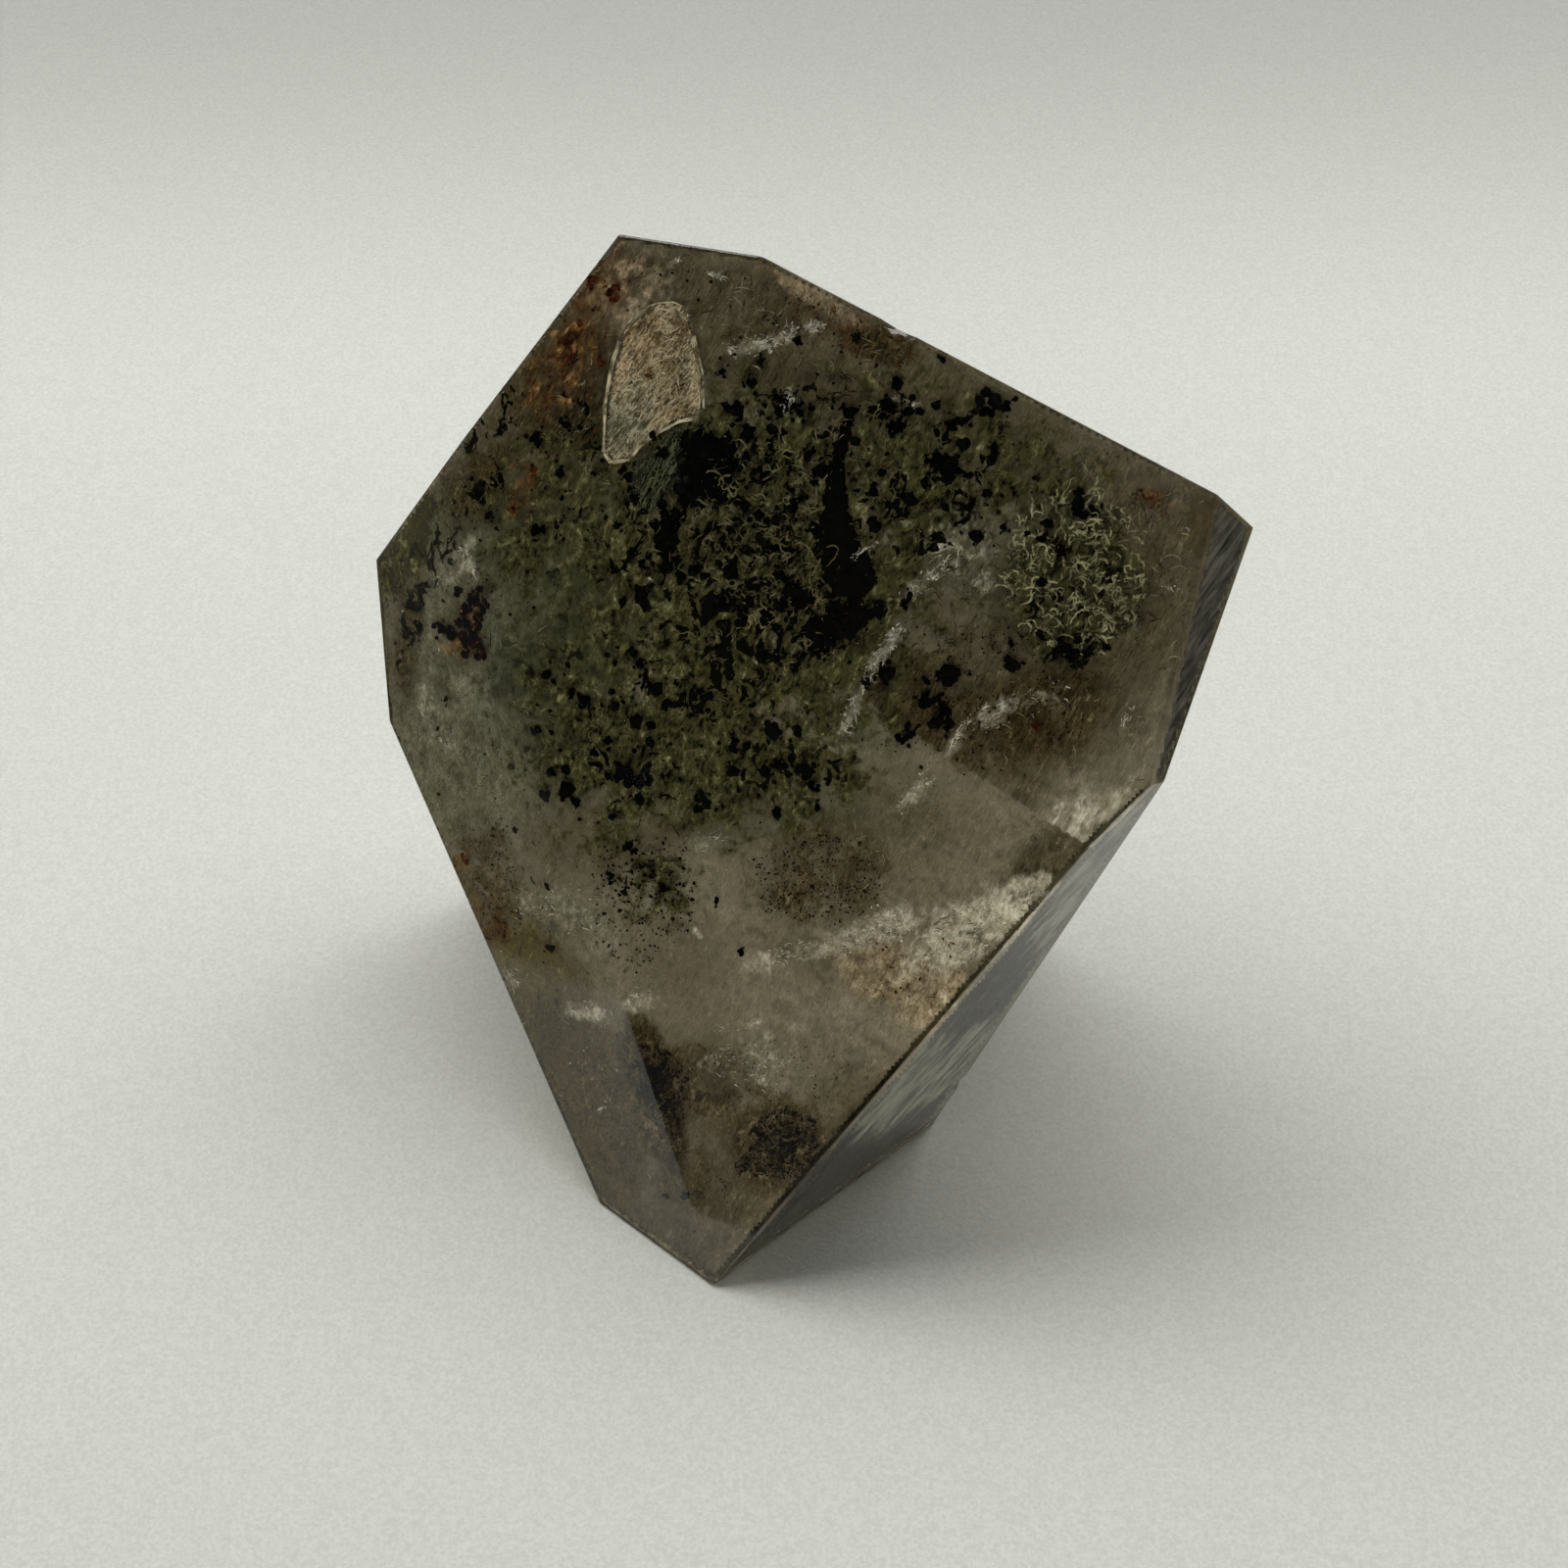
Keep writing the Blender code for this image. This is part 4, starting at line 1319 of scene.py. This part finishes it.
def makeSideStreaks():
    heap = Heap()
    for outline in (sideStreaks["side"], sideStreaks["narrow"]):
        addSheet(heap, outline, sideStreaks["depth"], step=4, soft=4, seed=70.0, **sideStreaks["ripple"],
                 marks=sideStreaks["marks"], even=False)
    f = Finish("side streaks", (0.4, 0.4, 0.34))
    streaks = f.cloud(0.42 * mm, detail=4.0, rough=0.62, warp=0.4,
                      at=f.alongGrain(10.0, sideStreaks["run"], 8.0))
    tone = streaks * 0.75 + f.cloud(5 * mm, detail=3.0) * 0.25
    ramps = {kind: f.ramp(tone, *colours) for kind, colours in sideStreaks["colours"].items()}
    colour = ramps["all"]
    for kind, ragged in (("dark", 3.0), ("light", 2.5)):
        colour = f.mix(f.clip(f.mark(kind) + (streaks - 0.5) * ragged, 0.2, 0.9), colour, ramps[kind])
    colour = f.mix(f.mark("plain") * 0.8, colour, ramps["plain"])
    alpha = f.clip(1.0 + (tone - 0.5) * 2.0, 0.0, 1.0) * f.mark()
    heap.piece("side_streaks", f.done(f.coat(colour, 0.7, streaks, 0.2 * mm, Alpha=alpha)), margin=0.2 * mm)


makeCrust()
makeVeils()
makeTanFibres()
makeBrownGrains()
makeHaze()
makeSideStreaks()


studio = {
    "floor": (0.585, 0.592, 0.556),
    "floorHalf": 3.0,  # metres
    "floorBelow": 0.2 * mm,
    "table": (0.05, 0.05, 0.045),
    "darkFrom": (0.13, 0.15, 0.0805),  # how far the pale card goes to the front and sides, and where the painted shade towards its far edge sets in, in metres
    "lamp": {"place": (-0.05, 0.37, 0.9), "size": (2.0, 0.6), "power": 18.8, "tint": (1.0, 1.0, 0.98)},
    "fill": {"place": (-0.13, -0.94, 0.025), "size": (0.55, 0.042), "power": 17.0, "tint": (1.0, 0.97, 0.86)},
    "room": ((1.0, 0.98, 0.90), 0.010),
}


def makeFloor():
    half, below = studio["floorHalf"], studio["floorBelow"]
    corners = [(x * half, y * half, -below) for x, y in ((-1, -1), (1, -1), (1, 1), (-1, 1))]
    mesh = bpy.data.meshes.new("floor")
    mesh.from_pydata(corners, [], [(0, 1, 2, 3)])
    floor = bpy.data.objects.new("floor", mesh)
    bpy.context.scene.collection.objects.link(floor)
    pale, table = studio["floor"], studio["table"]
    f = Finish("pale card", pale)
    grain = f.cloud(0.36 * mm, detail=3.0, rough=0.7)
    darker, lighter = tuple(c * 0.88 for c in pale), tuple(c * 1.05 for c in pale)
    colour = f.mix(f.clip(grain, 0.3, 0.7), darker, lighter)
    across, along = f.along((1.0, 0.0, 0.0)), f.along((0.0, 1.0, 0.0))
    side = f.node("ShaderNodeMath", {"operation": "ABSOLUTE"}, {0: across}) - along * 0.2
    near, far, reach = studio["darkFrom"]
    colour = f.mix(f.clip(side, reach, reach + 0.01), colour, table)  # the card ends outside the picture
    colour = f.mix(f.clip(0.0 - along, near, near + 0.05), colour, table)
    # painted shade: the card darkens towards its far edge, and a little towards the front, as the lamp's
    # light falls off
    colour = f.mix(f.clip(along, far - 0.06, far + 0.05) * 0.40, colour, table)
    colour = f.mix(f.clip(0.0 - along, 0.0, 0.09) * 0.07, colour, table)
    f.done(f.body({"Base Color": colour, "Roughness": 0.85, "Specular IOR Level": 0.2,
                   "Normal": f.bump(grain, 0.05 * mm, 0.4)}))
    mesh.materials.append(f.material)


def makeLamp(name, place, size, power, tint, aim=(0, 0, 0.02)):
    light = bpy.data.lights.new(name, "AREA")
    light.shape = "RECTANGLE"
    light.size, light.size_y = size
    light.energy = power
    light.color = tint
    lamp = bpy.data.objects.new(name, light)
    bpy.context.scene.collection.objects.link(lamp)
    lamp.location = place
    lamp.rotation_euler = (Vector(aim) - Vector(place)).to_track_quat("-Z", "Y").to_euler()


def makeCamera():
    camera = bpy.data.objects.new("camera", bpy.data.cameras.new("camera"))
    bpy.context.scene.collection.objects.link(camera)
    camera.location = view["place"]
    camera.rotation_euler = (math.radians(90 - view["lookDown"]), 0, 0)
    camera.data.sensor_fit = "HORIZONTAL"
    camera.data.angle = math.radians(view["field"])
    camera.data.clip_start = 0.005
    bpy.context.scene.camera = camera


makeFloor()
makeLamp("soft lamp", **studio["lamp"])
makeLamp("low front light", **studio["fill"])
world = bpy.data.worlds.new("room")
world.use_nodes = True
world.node_tree.nodes["Background"].inputs["Color"].default_value = (*studio["room"][0], 1.0)
world.node_tree.nodes["Background"].inputs["Strength"].default_value = studio["room"][1]
bpy.context.scene.world = world
bpy.context.scene.view_settings.view_transform = "Standard"
makeCamera()
print("floor, light and camera ready")
